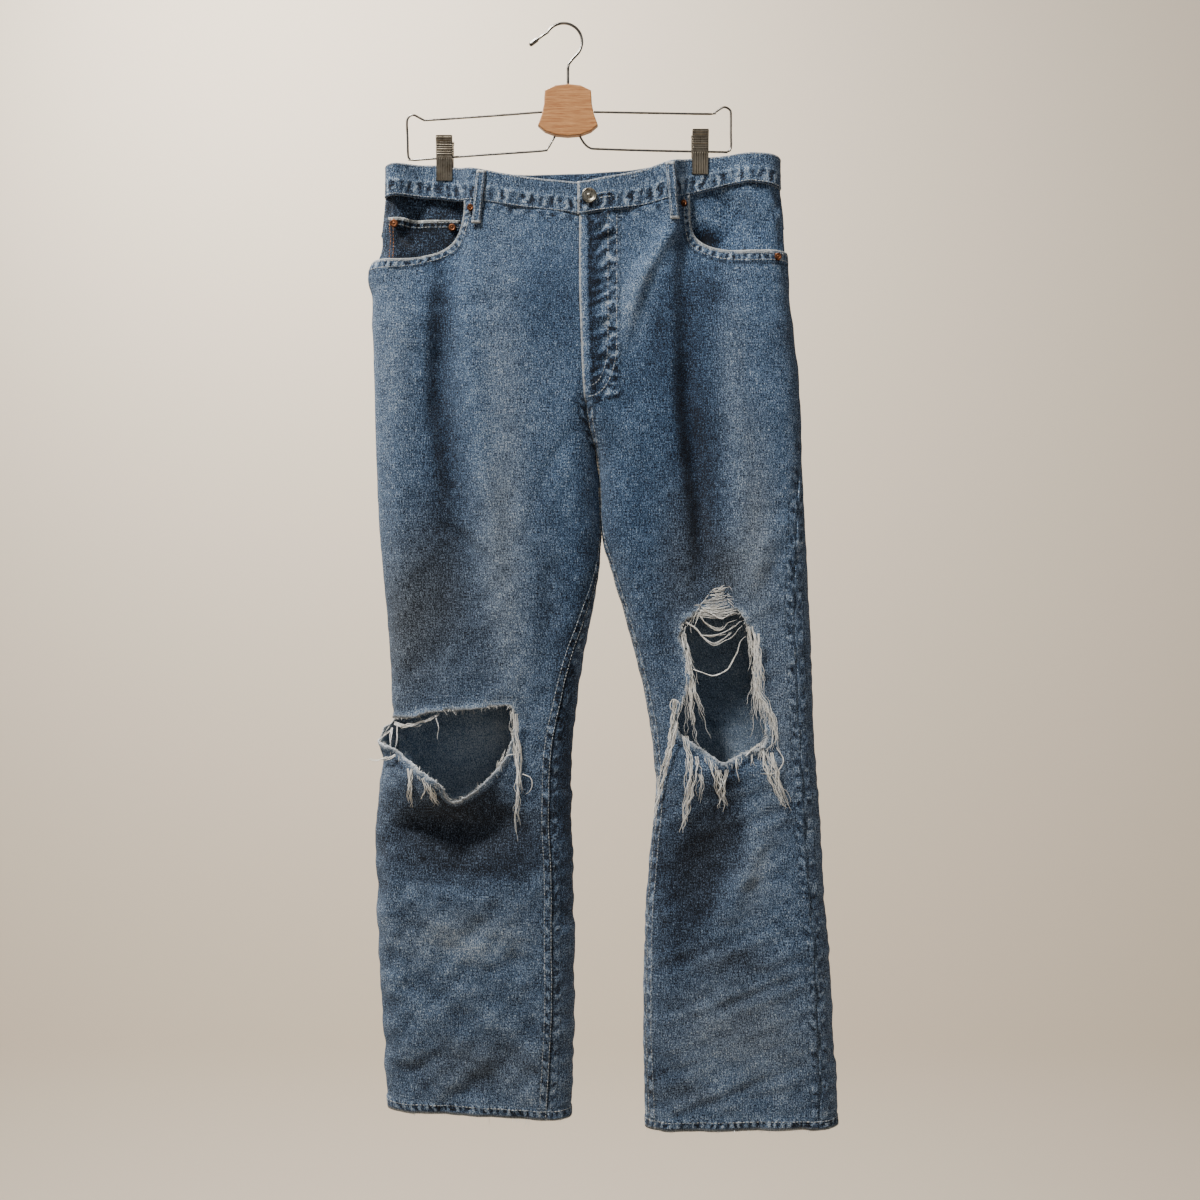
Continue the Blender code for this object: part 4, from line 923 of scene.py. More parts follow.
def evaluated(obj, name):
    # the object with its modifiers applied, as a plain mesh object of its own
    bpy.context.view_layer.update()
    mesh = bpy.data.meshes.new_from_object(obj.evaluated_get(bpy.context.evaluated_depsgraph_get()))
    mesh.name = name
    made = link(bpy.data.objects.new(name, mesh))
    old = obj.data
    bpy.data.objects.remove(obj)
    if old.users == 0:
        (bpy.data.meshes if isinstance(old, bpy.types.Mesh) else bpy.data.curves).remove(old)
    made.name = name
    return made


def setAttributes(mesh, values):
    for key, array in values.items():
        layer = mesh.attributes.new(key, "FLOAT", "POINT")
        layer.data.foreach_set("value", np.asarray(array, np.float32).reshape(-1))


def setFlat(mesh, flat):
    # the UV map in metres, from each vertex's flat point
    layer = mesh.uv_layers.new(name="flat")
    loops = np.zeros(len(mesh.loops), int)
    mesh.loops.foreach_get("vertex_index", loops)
    layer.data.foreach_set("uv", np.asarray(flat, np.float32).reshape(-1, 2)[loops].ravel())


def meshObject(name, verts, faces, material, flat=None, marks=None):
    # a smooth closed mesh with its faces outward
    mesh = bpy.data.meshes.new(name)
    mesh.from_pydata(np.reshape(verts, (-1, 3)).tolist(), [], faces)
    if flat is not None:
        setFlat(mesh, flat)
    setAttributes(mesh, marks or {})
    mesh.materials.append(material)
    work = bmesh.new()
    work.from_mesh(mesh)
    if flat is None:
        bmesh.ops.remove_doubles(work, verts=work.verts, dist=1e-6)
    bmesh.ops.recalc_face_normals(work, faces=work.faces)
    bmesh.ops.triangulate(work, faces=[f for f in work.faces if len(f.verts) > 4])
    work.to_mesh(mesh)
    work.free()
    mesh.polygons.foreach_set("use_smooth", [True] * len(mesh.polygons))
    return link(bpy.data.objects.new(name, mesh))


def placed(pattern, flat):
    # where flat points lie in space, with their normals, x and drops
    position = sample(pattern, flat[:, 0], flat[:, 1])
    return position, sample(pattern, flat[:, 0], flat[:, 1], "normals"), position[:, 0], -position[:, 2]


def clothPiece(name, flat, faces, position, normal, rise, material="denim", thick=None, seams=None, **marks):
    # a sheet from flat points and their places in space, moved out by rise, with a wall that is
    # thicker where thick is 1; its flat points are its UV map
    a, b, c = flat[faces[:, 0]], flat[faces[:, 1]], flat[faces[:, 2]]
    area = np.abs((b[:, 0] - a[:, 0]) * (c[:, 1] - a[:, 1])
                  - (b[:, 1] - a[:, 1]) * (c[:, 0] - a[:, 0])).sum() / 2
    zero = np.zeros(len(flat))
    marks = {"fade": zero, "dark": zero, "fray": zero, "grey": zero, "seam": zero, **marks}
    if seams:
        marks.update(nearSeams(seams, len(flat)))
    position = position + normal * rise[:, None]
    cross = np.cross(position[faces[:, 1]] - position[faces[:, 0]],
                     position[faces[:, 2]] - position[faces[:, 0]])
    if (cross * normal[faces[:, 0]]).sum() < 0:
        faces = faces[:, ::-1]
    mesh = bpy.data.meshes.new(name)
    mesh.from_pydata(position.tolist(), [], faces.tolist())
    setFlat(mesh, flat * (1, -1))
    setAttributes(mesh, marks)
    mesh.materials.append(materials[material])
    mesh.materials.append(materials["reverse"])
    sheet = link(bpy.data.objects.new(name + "_flat", mesh))
    wall = garment["cloth"], garment["folded"]
    solid = sheet.modifiers.new("wall", "SOLIDIFY")
    solid.material_offset = 1
    solid.offset = 0.0
    solid.thickness = wall[1] if thick is not None else wall[0]
    if thick is not None:
        group = sheet.vertex_groups.new(name="thick")
        weights = np.round(np.asarray(thick), 2)
        for value in np.unique(weights):
            group.add(np.where(weights == value)[0].tolist(), float(value), "REPLACE")
        solid.vertex_group = "thick"
        solid.thickness_vertex_group = wall[0] / wall[1]
    made[name] = evaluated(sheet, name + "_cloth")
    made[name].data.polygons.foreach_set("use_smooth", [True] * len(made[name].data.polygons))


# fades, painted highlights on lit bulges and painted shadows under the knees' lips, in folds and in the
# tears: x, drop, half width, half drop, fade (below 0 a painted shadow), grey
fadesAndPaintedLight = thousandths({
    ("left", "back"): (
        (175, 760, 50, 70, -550, 0), (140, 420, 60, 90, 200, 200), (180, 560, 70, 160, 160, 400),
        (190, 900, 70, 80, 100, 400), (200, 1120, 70, 100, 40, 400),
    ),
    ("right", "front"): (
        (-14, 1090, 20, 60, -260, 0), (-142, 330, 14, 50, -400, 0), (-140, 610, 22, 120, -300, 0),
        (-20, 325, 45, 45, -360, -100), (12, 520, 16, 80, 300, -200), (-80, 480, 20, 60, 220, -200),
        (-95, 705, 30, 60, -280, 0), (-50, 710, 16, 70, 280, 0), (-65, 935, 35, 35, -550, 0),
        (-100, 958, 60, 18, -450, 0), (-100, 1052, 55, 22, 550, -200), (-143, 460, 20, 130, -340, 0),
        (-150, 225, 30, 30, -100, 0), (-190, 380, 22, 120, 240, 200), (-182, 700, 26, 90, -320, 500),
        (-145, 660, 42, 90, -460, 600), (-70, 330, 30, 90, 140, 100), (-68, 560, 26, 190, 240, 500),
        (-22, 660, 20, 120, -300, 0), (20, 560, 18, 160, -340, -200), (8, 850, 16, 170, -900, -100),
        (-118, 925, 88, 46, -1500, 500), (-115, 1040, 70, 26, 220, 300), (-90, 1190, 80, 30, -240, 400),
        (-20, 1225, 30, 20, 160, 100),
    ),
    ("left", "front"): (
        (112, 950, 16, 60, -340, 0), (112, 1205, 18, 26, -420, 0), (112, 700, 14, 50, -340, 0),
        (52, 400, 14, 70, -380, -100), (80, 405, 18, 30, -400, -100), (110, 375, 16, 50, -480, 0),
        (142, 325, 16, 30, -380, 0), (170, 310, 18, 30, -650, 0), (170, 500, 16, 140, -440, 0),
        (200, 950, 14, 22, -500, 0), (230, 950, 12, 22, 350, 0), (118, 1040, 22, 60, -420, 0),
        (190, 1195, 45, 30, 340, -300), (140, 520, 22, 130, -260, 0), (155, 950, 26, 50, -400, 100),
        (180, 864, 17, 13, -1000, 100), (70, 340, 22, 60, 260, 100), (138, 440, 26, 110, -550, -100),
        (140, 620, 30, 100, -500, 400), (90, 560, 22, 150, -240, -100), (40, 600, 20, 70, -500, -100),
        (190, 420, 20, 120, 100, 300), (185, 630, 18, 40, -400, 600), (218, 590, 22, 110, 240, 600),
        (248, 370, 20, 40, -260, 100), (245, 800, 20, 120, 100, 300), (150, 975, 36, 70, -1100, 300),
        (182, 915, 24, 34, -700, 300), (190, 1068, 50, 18, -500, 300), (215, 975, 16, 50, 260, 300),
        (200, 1160, 80, 60, 40, 500), (140, 1222, 40, 16, -300, 300),
    ),
    ("right", "back"): (
        (-85, 825, 40, 30, 700, -200), (4, 860, 16, 170, -800, -100), (-100, 560, 70, 160, 160, 400),
        (-90, 420, 60, 90, 200, 200), (-100, 900, 70, 80, 100, 400), (-90, 1120, 70, 100, 40, 400),
    ),
})

# pale whiskers, painted highlights along creases inside the tears and painted shadows in creases: half width,
# fade, then x and drop by turns
streaks = thousandths({
    ("left", "front"): (
        (5, 300, 120, 250, 100, 282, 82, 318, 70, 360), (9, -400, 136, 255, 124, 292, 112, 335, 104, 390),
        (7, 120, 60, 392, 100, 400, 150, 392), (6, 100, 190, 420, 230, 424, 260, 418),
        (8, -200, 48, 440, 56, 520, 64, 620), (6, 180, 98, 760, 100, 900, 97, 1200),
    ),
    ("right", "back"): (
        (4, 400, -86, 806, -72, 809, -64, 814), (4, 300, -84, 822, -70, 823),
        (5, 200, -112, 858, -96, 856, -84, 862), (12, -300, -160, 810, -150, 840),
        (8, 100, -180, 560, -110, 575, -30, 556), (9, 120, -190, 870, -110, 885, -30, 872),
    ),
    ("left", "back"): (
        (4, -500, 150, 775, 163, 795, 174, 808, 190, 806), (6, 200, 150, 745, 185, 742, 205, 748),
        (8, 100, 80, 556, 160, 575, 240, 560), (9, 120, 110, 872, 190, 885, 270, 870),
    ),
    ("right", "front"): (
        (7, 160, -190, 372, -120, 376, -40, 366), (6, 120, -180, 402, -110, 408, -50, 400),
        (6, 120, -20, 385, -60, 420, -110, 432), (10, -220, 16, 420, 20, 520, 30, 640),
        (5, 140, -216, 300, -213, 500, -204, 700),
    ),
})


# the creases' relief, and their tone (fade): paler ridges as wear, darker troughs as painted shade
creaseLook = {"drops": (0.30, 0.60, 0.90, 1.02, 1.28), "strengths": (0.25, 0.40, 0.85, 1.0, 1.0),
              "lengths": (0.078, 0.044, 0.027), "fade": 0.18, "height": 0.0013}


def creasesAt(leg, face, x, drop):
    # slow, slanting creases that grow stronger down the legs
    seed = 150 + 2 * (leg == "left") + (face == "back")
    strength = np.interp(drop, creaseLook["drops"], creaseLook["strengths"])
    return strength * ripples(x + 0.4 * drop, 1.5 * drop, seed, creaseLook["lengths"], (1.0, 0.9, 0.5))


def toneAndPaintedLightOf(leg, face, x, drop):
    # folds and creases are painted as well as raised: paler on their ridges as wear, darker in their valleys
    # as painted shade
    folded = foldsAt(leg, face, x, drop)
    fade = folded * np.where(folded > 0, 18.0, 34.0) + creaseLook["fade"] * creasesAt(leg, face, x, drop)
    grey = 0.05 + 0.13 * ease(np.asarray(drop, float), 0.50, 0.70) + np.zeros(np.shape(x))
    # fades, painted highlights and painted shadows from the table
    for wx, wd, halfWidth, halfDrop, amount, greyed in fadesAndPaintedLight[leg, face]:
        reach = np.exp(-((x - wx) / halfWidth) ** 2 - ((drop - wd) / halfDrop) ** 2)
        fade += amount * reach
        grey += greyed * reach
    # pale whiskers, painted highlights and painted shadows along creases
    for width, amount, *spine in streaks[leg, face]:
        gap, along = spineDistance(x, drop, pairs(spine))
        fade += amount * hump(gap, 0, width) * np.sin(math.pi * np.clip(along, 0.03, 0.97)) ** 0.5
    return np.clip(fade, -1.05, 0.9), np.clip(grey, 0, 1)


lineStep = 0.003   # between the points of a line on the cloth


def flatLine(pattern, edge, inset=0.0, first=None, last=None):
    # a line of flat points along a panel's edge, set in from it
    drops = np.arange(pattern["drops"][0] if first is None else first,
                      pattern["drops"][-1] if last is None else last, lineStep)
    at = edgeAt(pattern, edge, drops)
    return np.stack([at + (inset if edge == "start" else -inset), drops], axis=1)


def levelLine(pattern, drop, inset):
    s = np.arange(edgeAt(pattern, "start", drop) + inset, edgeAt(pattern, "end", drop) - inset, lineStep)
    return np.stack([s, np.full_like(s, drop)], axis=1)


def flatPath(pattern, points, step=lineStep):
    # points (x, drop) on a panel's own face, as flat points at even steps
    points = np.array(points, float)
    along = runOf(points)
    at = np.append(np.arange(0, along[-1], step), along[-1])
    s, level = flatAt(pattern, np.interp(at, along, points[:, 0]), np.interp(at, along, points[:, 1]))
    return np.stack([s, level], axis=1)


def mouthCurve(leg):
    cornerX, top, sideX, sideDrop, squareness = mouths[leg]
    a = np.linspace(0, math.pi / 2, 40)
    return np.stack([sideX + (cornerX - sideX) * np.cos(a) ** (2 / squareness),
                     top + (sideDrop - top) * np.sin(a) ** (2 / squareness)], axis=1)


def offsetLine(line, distance):
    # a flat line moved sideways, to the left of its own direction where the distance is above 0
    tangent = unit(np.gradient(line, axis=0))
    return line + np.stack([tangent[:, 1], -tangent[:, 0]], axis=1) * distance


made = {}          # finished pieces by name
stitchLines = {}   # rows of stitches: thread name -> list of lines of points in space


def addStitches(piece, pattern, lines, thread="paleThread"):
    for line in lines:
        position, normal, _, _ = placed(pattern, line)
        stitchLines.setdefault(thread, []).append((piece, position, normal))


farthest = 0.3    # how far a piece is looked for


def meets(position, direction, pieces):
    # how far each point can go along its direction before it meets one of the finished pieces
    distance = np.full(len(position), farthest)
    for k, (place, way) in enumerate(zip(position, direction)):
        for piece in pieces:
            hit, where, _, _ = made[piece].ray_cast(Vector(place), Vector(way), distance=farthest)
            if hit:
                distance[k] = min(distance[k], (where - Vector(place)).length)
    return distance


def laidOn(piece, position, normal, lift):
    # points pushed along their normals onto a finished piece, from a little outside it
    laid, reach = [], 0.02
    for place, outward in zip(position, normal):
        place, outward = Vector(place), Vector(outward)
        hit, where, _, _ = made[piece].ray_cast(place + outward * reach, -outward, distance=reach * 1.6)
        if hit:
            laid.append(where + outward * lift)
    return np.array(laid)


panelLook = {
    "step": 0.0032,
    "tearJag": 0.0007,
    "hemBand": 0.0115,
    "seamBand": 0.0105,
    "mouthBand": 0.0100,
    "lip": {"right": (0.805, 0.812), "left": (0.800, 0.815)},
}

# the puckers beside each seam: their length, inner edge, outer edge and strength
puckers = {
    "hem": (0.0085, 0.0012, 0.0125, 1.0), "waist": (0.0160, 0.0, 0.0100, 0.55),
    "inseam": (0.0150, 0.0020, 0.0100, 0.75),
    "outseamRight": (0.0150, 0.0020, 0.0110, 0.45), "outseamLeft": (0.0150, 0.0020, 0.0110, 0.62),
    "mouth": (0.0072, 0.0022, 0.0112, 1.0), "rise": (0.0130, 0.0016, 0.0100, 0.8),
    "yokeTop": (0.015, 0.0, 0.010, 0.6), "yokeBottom": (0.013, 0.001, 0.010, 0.8),
    "yokeSide": (0.015, 0.0, 0.010, 0.7),
    "pocketTop": (0.0095, 0.001, 0.0135, 0.8), "pocketEdge": (0.0100, 0.001, 0.0090, 0.9),
}

# how far in each twin row of stitches lies
twinRows = {"inseam": (0.0016, 0.0088), "mouth": (0.0028, 0.0092), "rise": (0.0020, 0.0080),
            "yoke": (0.0016, 0.0084),
            "pocket": (0.0020, 0.0078), "coin": (0.0030, 0.0080)}

flyLook = {
    "edgeStrip": 0.0100, "lift": 0.0013, "end": 0.440, "buttons": 0.046,
    "lumps": ((0.237, 0.0016), (0.257, -0.0016), (0.275, 0.0016), (0.306, -0.0020), (0.340, 0.0022),
              (0.393, -0.0016)),
    "stitchIn": 0.051, "stitchOut": 0.061, "puckered": 0.056, "shadow": 0.037, "turnStart": 0.370,
    "turnEnd": 0.432, "edgeX": 0.0310,
}


def flyCurve(x):
    # straight down, then round to the fly's edge
    look = flyLook
    depth = look["turnEnd"] - look["turnStart"] - (look["stitchOut"] - x) * 1.2
    turn = [(look["edgeX"] + (x - look["edgeX"]) * math.cos(t), look["turnStart"] + depth * math.sin(t))
            for t in np.linspace(0, math.pi / 2, 16)[1:]]
    return [(x, 0.226), (x, look["turnStart"])] + turn


def buildPanel(leg, face):
    name = face + "_panel_" + leg
    pattern = patterns[name]
    drops = pattern["drops"]
    outline = panelOutline(pattern, panelLook["step"])
    holes, mouthLine, tearLine = [], None, None
    if face == "front":
        tearS, tearLevel = flatAt(pattern, *np.array(rounded(pairs(tears[leg]), 5)).T)
        tearS = np.maximum(tearS, -0.004)
        seed = 7 if leg == "right" else 9
        tearLine = ringOf(np.stack([tearS, tearLevel], axis=1), 0.0014, panelLook["tearJag"], seed)
        mouthLine = flatPath(pattern, mouthCurve(leg), 0.002)
        above = [(mouthLine[-1][0] - 0.06, mouthLine[-1][1]), (mouthLine[-1][0] - 0.06, 0.15),
                 (mouthLine[0][0], 0.15)]
        holes = [tearLine, np.vstack([mouthLine, np.array(above)])]
    flat, faces = triangulate(outline, holes, panelLook["step"])
    position, normal, x, drop = placed(pattern, flat)
    across, level = flat.T
    startGap, endGap = across - edgeAt(pattern, "start", level), edgeAt(pattern, "end", level) - across
    outseam, inseam = (startGap, endGap) if face == "front" else (endGap, startGap)
    bottomGap, topGap = drops[-1] - level, level - drops[0]
    fade, grey = toneAndPaintedLightOf(leg, face, x, drop)
    dark, fray, thick, rise = (np.zeros(len(flat)) for _ in range(4))
    below = ease(level, 0.500, 0.560)

    # hem: a thick folded band, roped, with worn lower edge
    hem = fall(bottomGap, panelLook["hemBand"] - 0.0015, panelLook["hemBand"])
    thick = np.maximum(thick, hem)
    rise += fall(bottomGap, 0.010, 0.030) * ripples(across, level * 0.2, 31, (0.024, 0.013), (0.0009, 0.0005))
    fray = np.maximum(fray, 0.8 * fall(bottomGap, 0.0006, 0.0024))
    fade += 0.20 * fall(bottomGap, 0.011, 0.022) * (1 - hem)
    seams = [(bottomGap, across, *puckers["hem"]), (topGap, across, *puckers["waist"]),
             (outseam, level, *puckers["outseam" + leg.title()]),
             (inseam + (1 - below), level, *puckers["inseam"])]

    # side and inside leg seams
    fell = fall(inseam, panelLook["seamBand"] - 0.0012, panelLook["seamBand"]) * below
    if face == "front":
        thick = np.maximum(thick, 0.55 * fell)
    fade += 0.10 * fell
    # a painted shadow line along the inseam's edge
    dark += 0.7 * fall(inseam, 0.0002, 0.0018)
    fade += 0.34 * fall(np.abs(outseam - 0.0012), 0.0004, 0.0016)
    rise += hump(outseam, 0, 0.012) * ripples(level, across * 0.3, 17, (0.030, 0.018), (0.0012, 0.0005))
    pulled = np.exp(-(np.where(level > 0.52, inseam, 1.0) / 0.014) ** 2)
    rise += pulled * ripples(level, across * 0.3, 19, (0.026, 0.016), (0.0010, 0.0005))
    gathered = ease(topGap, 0.0, 0.004) * np.exp(-topGap / 0.010)
    rise += gathered * ripples(across, level * 0.2, 53, (0.022, 0.012), (0.0007, 0.0004))

    free = ease(startGap, 0.002, 0.022) * ease(endGap, 0.002, 0.022) * ease(level, 0.47, 0.58)
    rise += creaseLook["height"] * free * creasesAt(leg, face, x, drop)

    if face == "front":
        mouthGap, mouthRun = alongLine(flat, mouthLine)
        band = fall(mouthGap, panelLook["mouthBand"] - 0.001, panelLook["mouthBand"])
        thick = np.maximum(thick, 0.40 * band)
        rise += 0.0022 * hump(mouthGap, 0, 0.020)
        seams.append((mouthGap, mouthRun, *puckers["mouth"]))
        fade += 0.22 * band
        worn = mouthGap + 0.0008 * ripples(mouthRun, 0.0, 65, (0.012, 0.005), (1.0, 1.0))
        fray = np.maximum(fray, 0.9 * fall(worn, 0.0004, 0.0022))
        # a painted shade line along the inner edge of the mouth's band
        dark += 0.35 * hump(mouthGap, 0.0118, 0.0016)
        tearGap = distanceTo(flat, closed(tearLine))
        lip = ease(level, *panelLook["lip"][leg])
        fray = np.maximum(fray, fall(tearGap, 0.0002, 0.0016) * (0.55 + 0.10 * lip))
        bleached = tearGap + 0.0012 * ripples(across, level, 63, (0.006, 0.003), (1.0, 1.0))
        fade += (0.52 + 0.12 * lip) * fall(bleached, 0.0050, 0.0090)
        # a painted shadow under the tear's lower lip
        dark += 0.5 * lip * hump(tearGap, 0.0095, 0.003)
        rise += (0.0010 + 0.0022 * lip) * hump(tearGap, 0, 0.004)
        rise += np.exp(-tearGap / 0.006) * ripples(across, level, 61, (0.018, 0.009), (0.0016, 0.0009))
        centreGap = endGap
        if leg == "left":
            flyOn = fall(drop, flyLook["end"] - 0.010, flyLook["end"] + 0.004)
            rise += flyOn * flyLook["lift"] * fall(centreGap, 0.030, 0.050)
            strip = fall(centreGap, flyLook["edgeStrip"] - 0.0012, flyLook["edgeStrip"])
            thick = np.maximum(thick, 0.35 * strip * flyOn)
            fade += flyOn * 0.34 * strip
            # a painted shade line in the groove beside the fly's edge strip
            dark += flyOn * 0.9 * hump(centreGap, 0.0115, 0.0012)
            fray = np.maximum(fray, 0.8 * flyOn * fall(centreGap, 0.0006, 0.0018))
            inFly = np.exp(-((x - flyLook["buttons"]) / 0.013) ** 4)
            # the buttons' lumps, painted paler where raised and darker in the dips, as painted light and
            # shade
            for lumpDrop, height in flyLook["lumps"]:
                lump = inFly * hump(drop, lumpDrop, 0.010)
                rise += height * lump
                fade += 150 * height * lump
            crumple = inFly * flyOn * ripples(x, drop, 71, (0.020, 0.010), (1.3, 1.3))
            rise += 0.0009 * crumple
            column = flyOn * np.exp(-((x - flyLook["shadow"]) / 0.0095) ** 4)
            mottled = ripples(x, drop, 73, (0.016, 0.008), (1.0, 1.0))
            shadow = 0.95 - 0.45 * ease(drop, 0.30, 0.36) + 0.35 * mottled
            # painted shade and highlight over the crumples, and a painted shadow down the fly's column
            dark += np.clip(0.9 * crumple, 0, 1) + column * shadow
            fade += np.clip(-1.0 * crumple, 0, 1)
            beside = np.where(flyOn > 0.5, np.abs(x - flyLook["puckered"]), 1.0)
            seams.append((beside, drop, 0.0110, 0.0, 0.0080, 0.8 * flyOn.max()))
        # a painted shadow line along the centre seam below the fly
        rising = fall(drop, 0.500, 0.520) * ease(drop, flyLook["end"] - 0.02, flyLook["end"])
        dark += 0.7 * rising * fall(centreGap, 0.0, 0.0020)
        seams.append((np.where(rising > 0.5, centreGap, 1.0), drop, *puckers["rise"]))

    clothPiece(name, flat, faces, position, normal, rise, thick=thick, seams=seams, fade=fade, dark=dark,
               fray=fray, grey=grey)
    pattern["tear"] = tearLine

    rows = [levelLine(pattern, drops[-1] - 0.0100, 0.002)]
    inseamEdge = "end" if face == "front" else "start"
    if face == "front":
        rows += [flatLine(pattern, inseamEdge, inset, 0.535) for inset in twinRows["inseam"]]
        for inset in twinRows["mouth"]:
            line = offsetLine(mouthLine, inset)
            rows.append(line[(line[:, 0] > 0.003) & (line[:, 1] > drops[0] + 0.001)])
        if leg == "left":
            rows += [flatPath(pattern, flyCurve(flyLook[key])) for key in ("stitchIn", "stitchOut")]
            rows.append(flatLine(pattern, "end", 0.0020, 0.226, 0.430))
            rows += [flatLine(pattern, "end", inset, 0.446, 0.530) for inset in twinRows["rise"]]
    else:
        rows += [levelLine(pattern, drops[0] + inset, 0.002) for inset in twinRows["yoke"]]
        if leg == "left":
            rows += [flatLine(pattern, "start", inset, None, 0.510) for inset in twinRows["rise"]]
    addStitches(name, pattern, rows)


for legName in ("right", "left"):
    for faceName in ("front", "back"):
        buildPanel(legName, faceName)
print("panels ready")


def buildYoke(leg):
    name = "back_yoke_" + leg
    pattern = patterns[name]
    outline = panelOutline(pattern, 0.004)
    flat, faces = triangulate(outline, [], 0.004)
    position, normal, x, drop = placed(pattern, flat)
    fade, grey = toneAndPaintedLightOf(leg, "back", x, drop)
    across, level = flat.T
    topGap, bottomGap = level - pattern["drops"][0], pattern["drops"][-1] - level
    sideGap = np.minimum(across - pattern["start"].mean(), pattern["end"].mean() - across)
    seams = [(topGap, across, *puckers["yokeTop"]), (bottomGap, across, *puckers["yokeBottom"]),
             (sideGap, level, *puckers["yokeSide"])]
    waves = ripples(across, level, 83, (0.020, 0.012), (0.0006, 0.0003))
    rise = np.exp(-np.minimum(topGap, bottomGap) / 0.008) * waves
    rise = rise * ease(topGap, 0.0, 0.004) + 0.0006 * fall(bottomGap, 0.001, 0.006)
    clothPiece(name, flat, faces, position, normal, rise, seams=seams, fade=fade, grey=grey)
    if leg == "left":
        addStitches(name, pattern, [flatLine(pattern, "start", inset, pattern["drops"][0] + 0.002)
                                    for inset in twinRows["rise"]])


pocketSizes = {"width": 0.150, "height": 0.155, "top": 0.285, "point": 0.024, "taper": 0.88, "hem": 0.014}


def buildBackPocket(leg):
    # a plain patch pocket that comes to a point
    name = "back_pocket_" + leg
    pattern = patterns["back_panel_" + leg]
    top, half = pocketSizes["top"], pocketSizes["width"] / 2
    middle = (outerEdge(leg, top) + innerEdge(leg, top)) / 2
    base, narrow = top + pocketSizes["height"], half * pocketSizes["taper"]
    shoulder = base - pocketSizes["point"]
    shape = [(middle - half, top), (middle + half, top), (middle + narrow, shoulder), (middle, base),
             (middle - narrow, shoulder), (middle - half, top)]
    line = flatPath(pattern, shape, 0.0035)[:-1]
    flat, faces = triangulate(line, [], 0.0035)
    position, normal, x, drop = placed(pattern, flat)
    edgeGap, edgeRun = alongLine(flat, closed(line))
    topGap = drop - top
    fade, grey = toneAndPaintedLightOf(leg, "back", x, drop)
    waves = ripples(flat[:, 0], flat[:, 1], 91, (0.06, 0.03), (0.0010, 0.0005))
    rise = 0.0018 + ease(edgeGap, 0.0, 0.02) * waves
    hem = pocketSizes["hem"]
    thick = 0.4 * fall(topGap, hem - 0.001, hem) + 0.2 * fall(edgeGap, 0.008, 0.009)
    fray = 0.8 * fall(topGap, 0.0004, 0.0022) + 0.35 * fall(edgeGap, 0.0002, 0.0018)
    seams = [(topGap, x, *puckers["pocketTop"]), (edgeGap, edgeRun, *puckers["pocketEdge"])]
    clothPiece(name, flat, faces, position, normal, rise, thick=thick, seams=seams, fade=fade + 0.12,
               fray=fray, grey=grey)
    for inset in twinRows["pocket"]:
        a, b = half - inset, narrow - inset
        addStitches(name, pattern, [flatPath(pattern, [
            (middle - a, top + 0.001), (middle - b, shoulder - inset * 0.4), (middle, base - inset),
            (middle + b, shoulder - inset * 0.4), (middle + a, top + 0.001)])])
    mouth = [(middle + way * (half - 0.002), top + 0.0125) for way in (-1, 1)]
    addStitches(name, pattern, [flatPath(pattern, mouth)])


def gape(pattern, flat):
    # how far the facing sags away behind the pocket mouth
    width = edgeAt(pattern, "end", flat[:, 1])
    share = np.clip(flat[:, 0] / width / 0.6, 0, 1)
    reach = np.interp(flat[:, 1], (0.205, 0.253, 0.301, 0.349), (0, 1, 0.2, 0))
    return 0.006 * np.sin(math.pi * share) ** 2 * reach


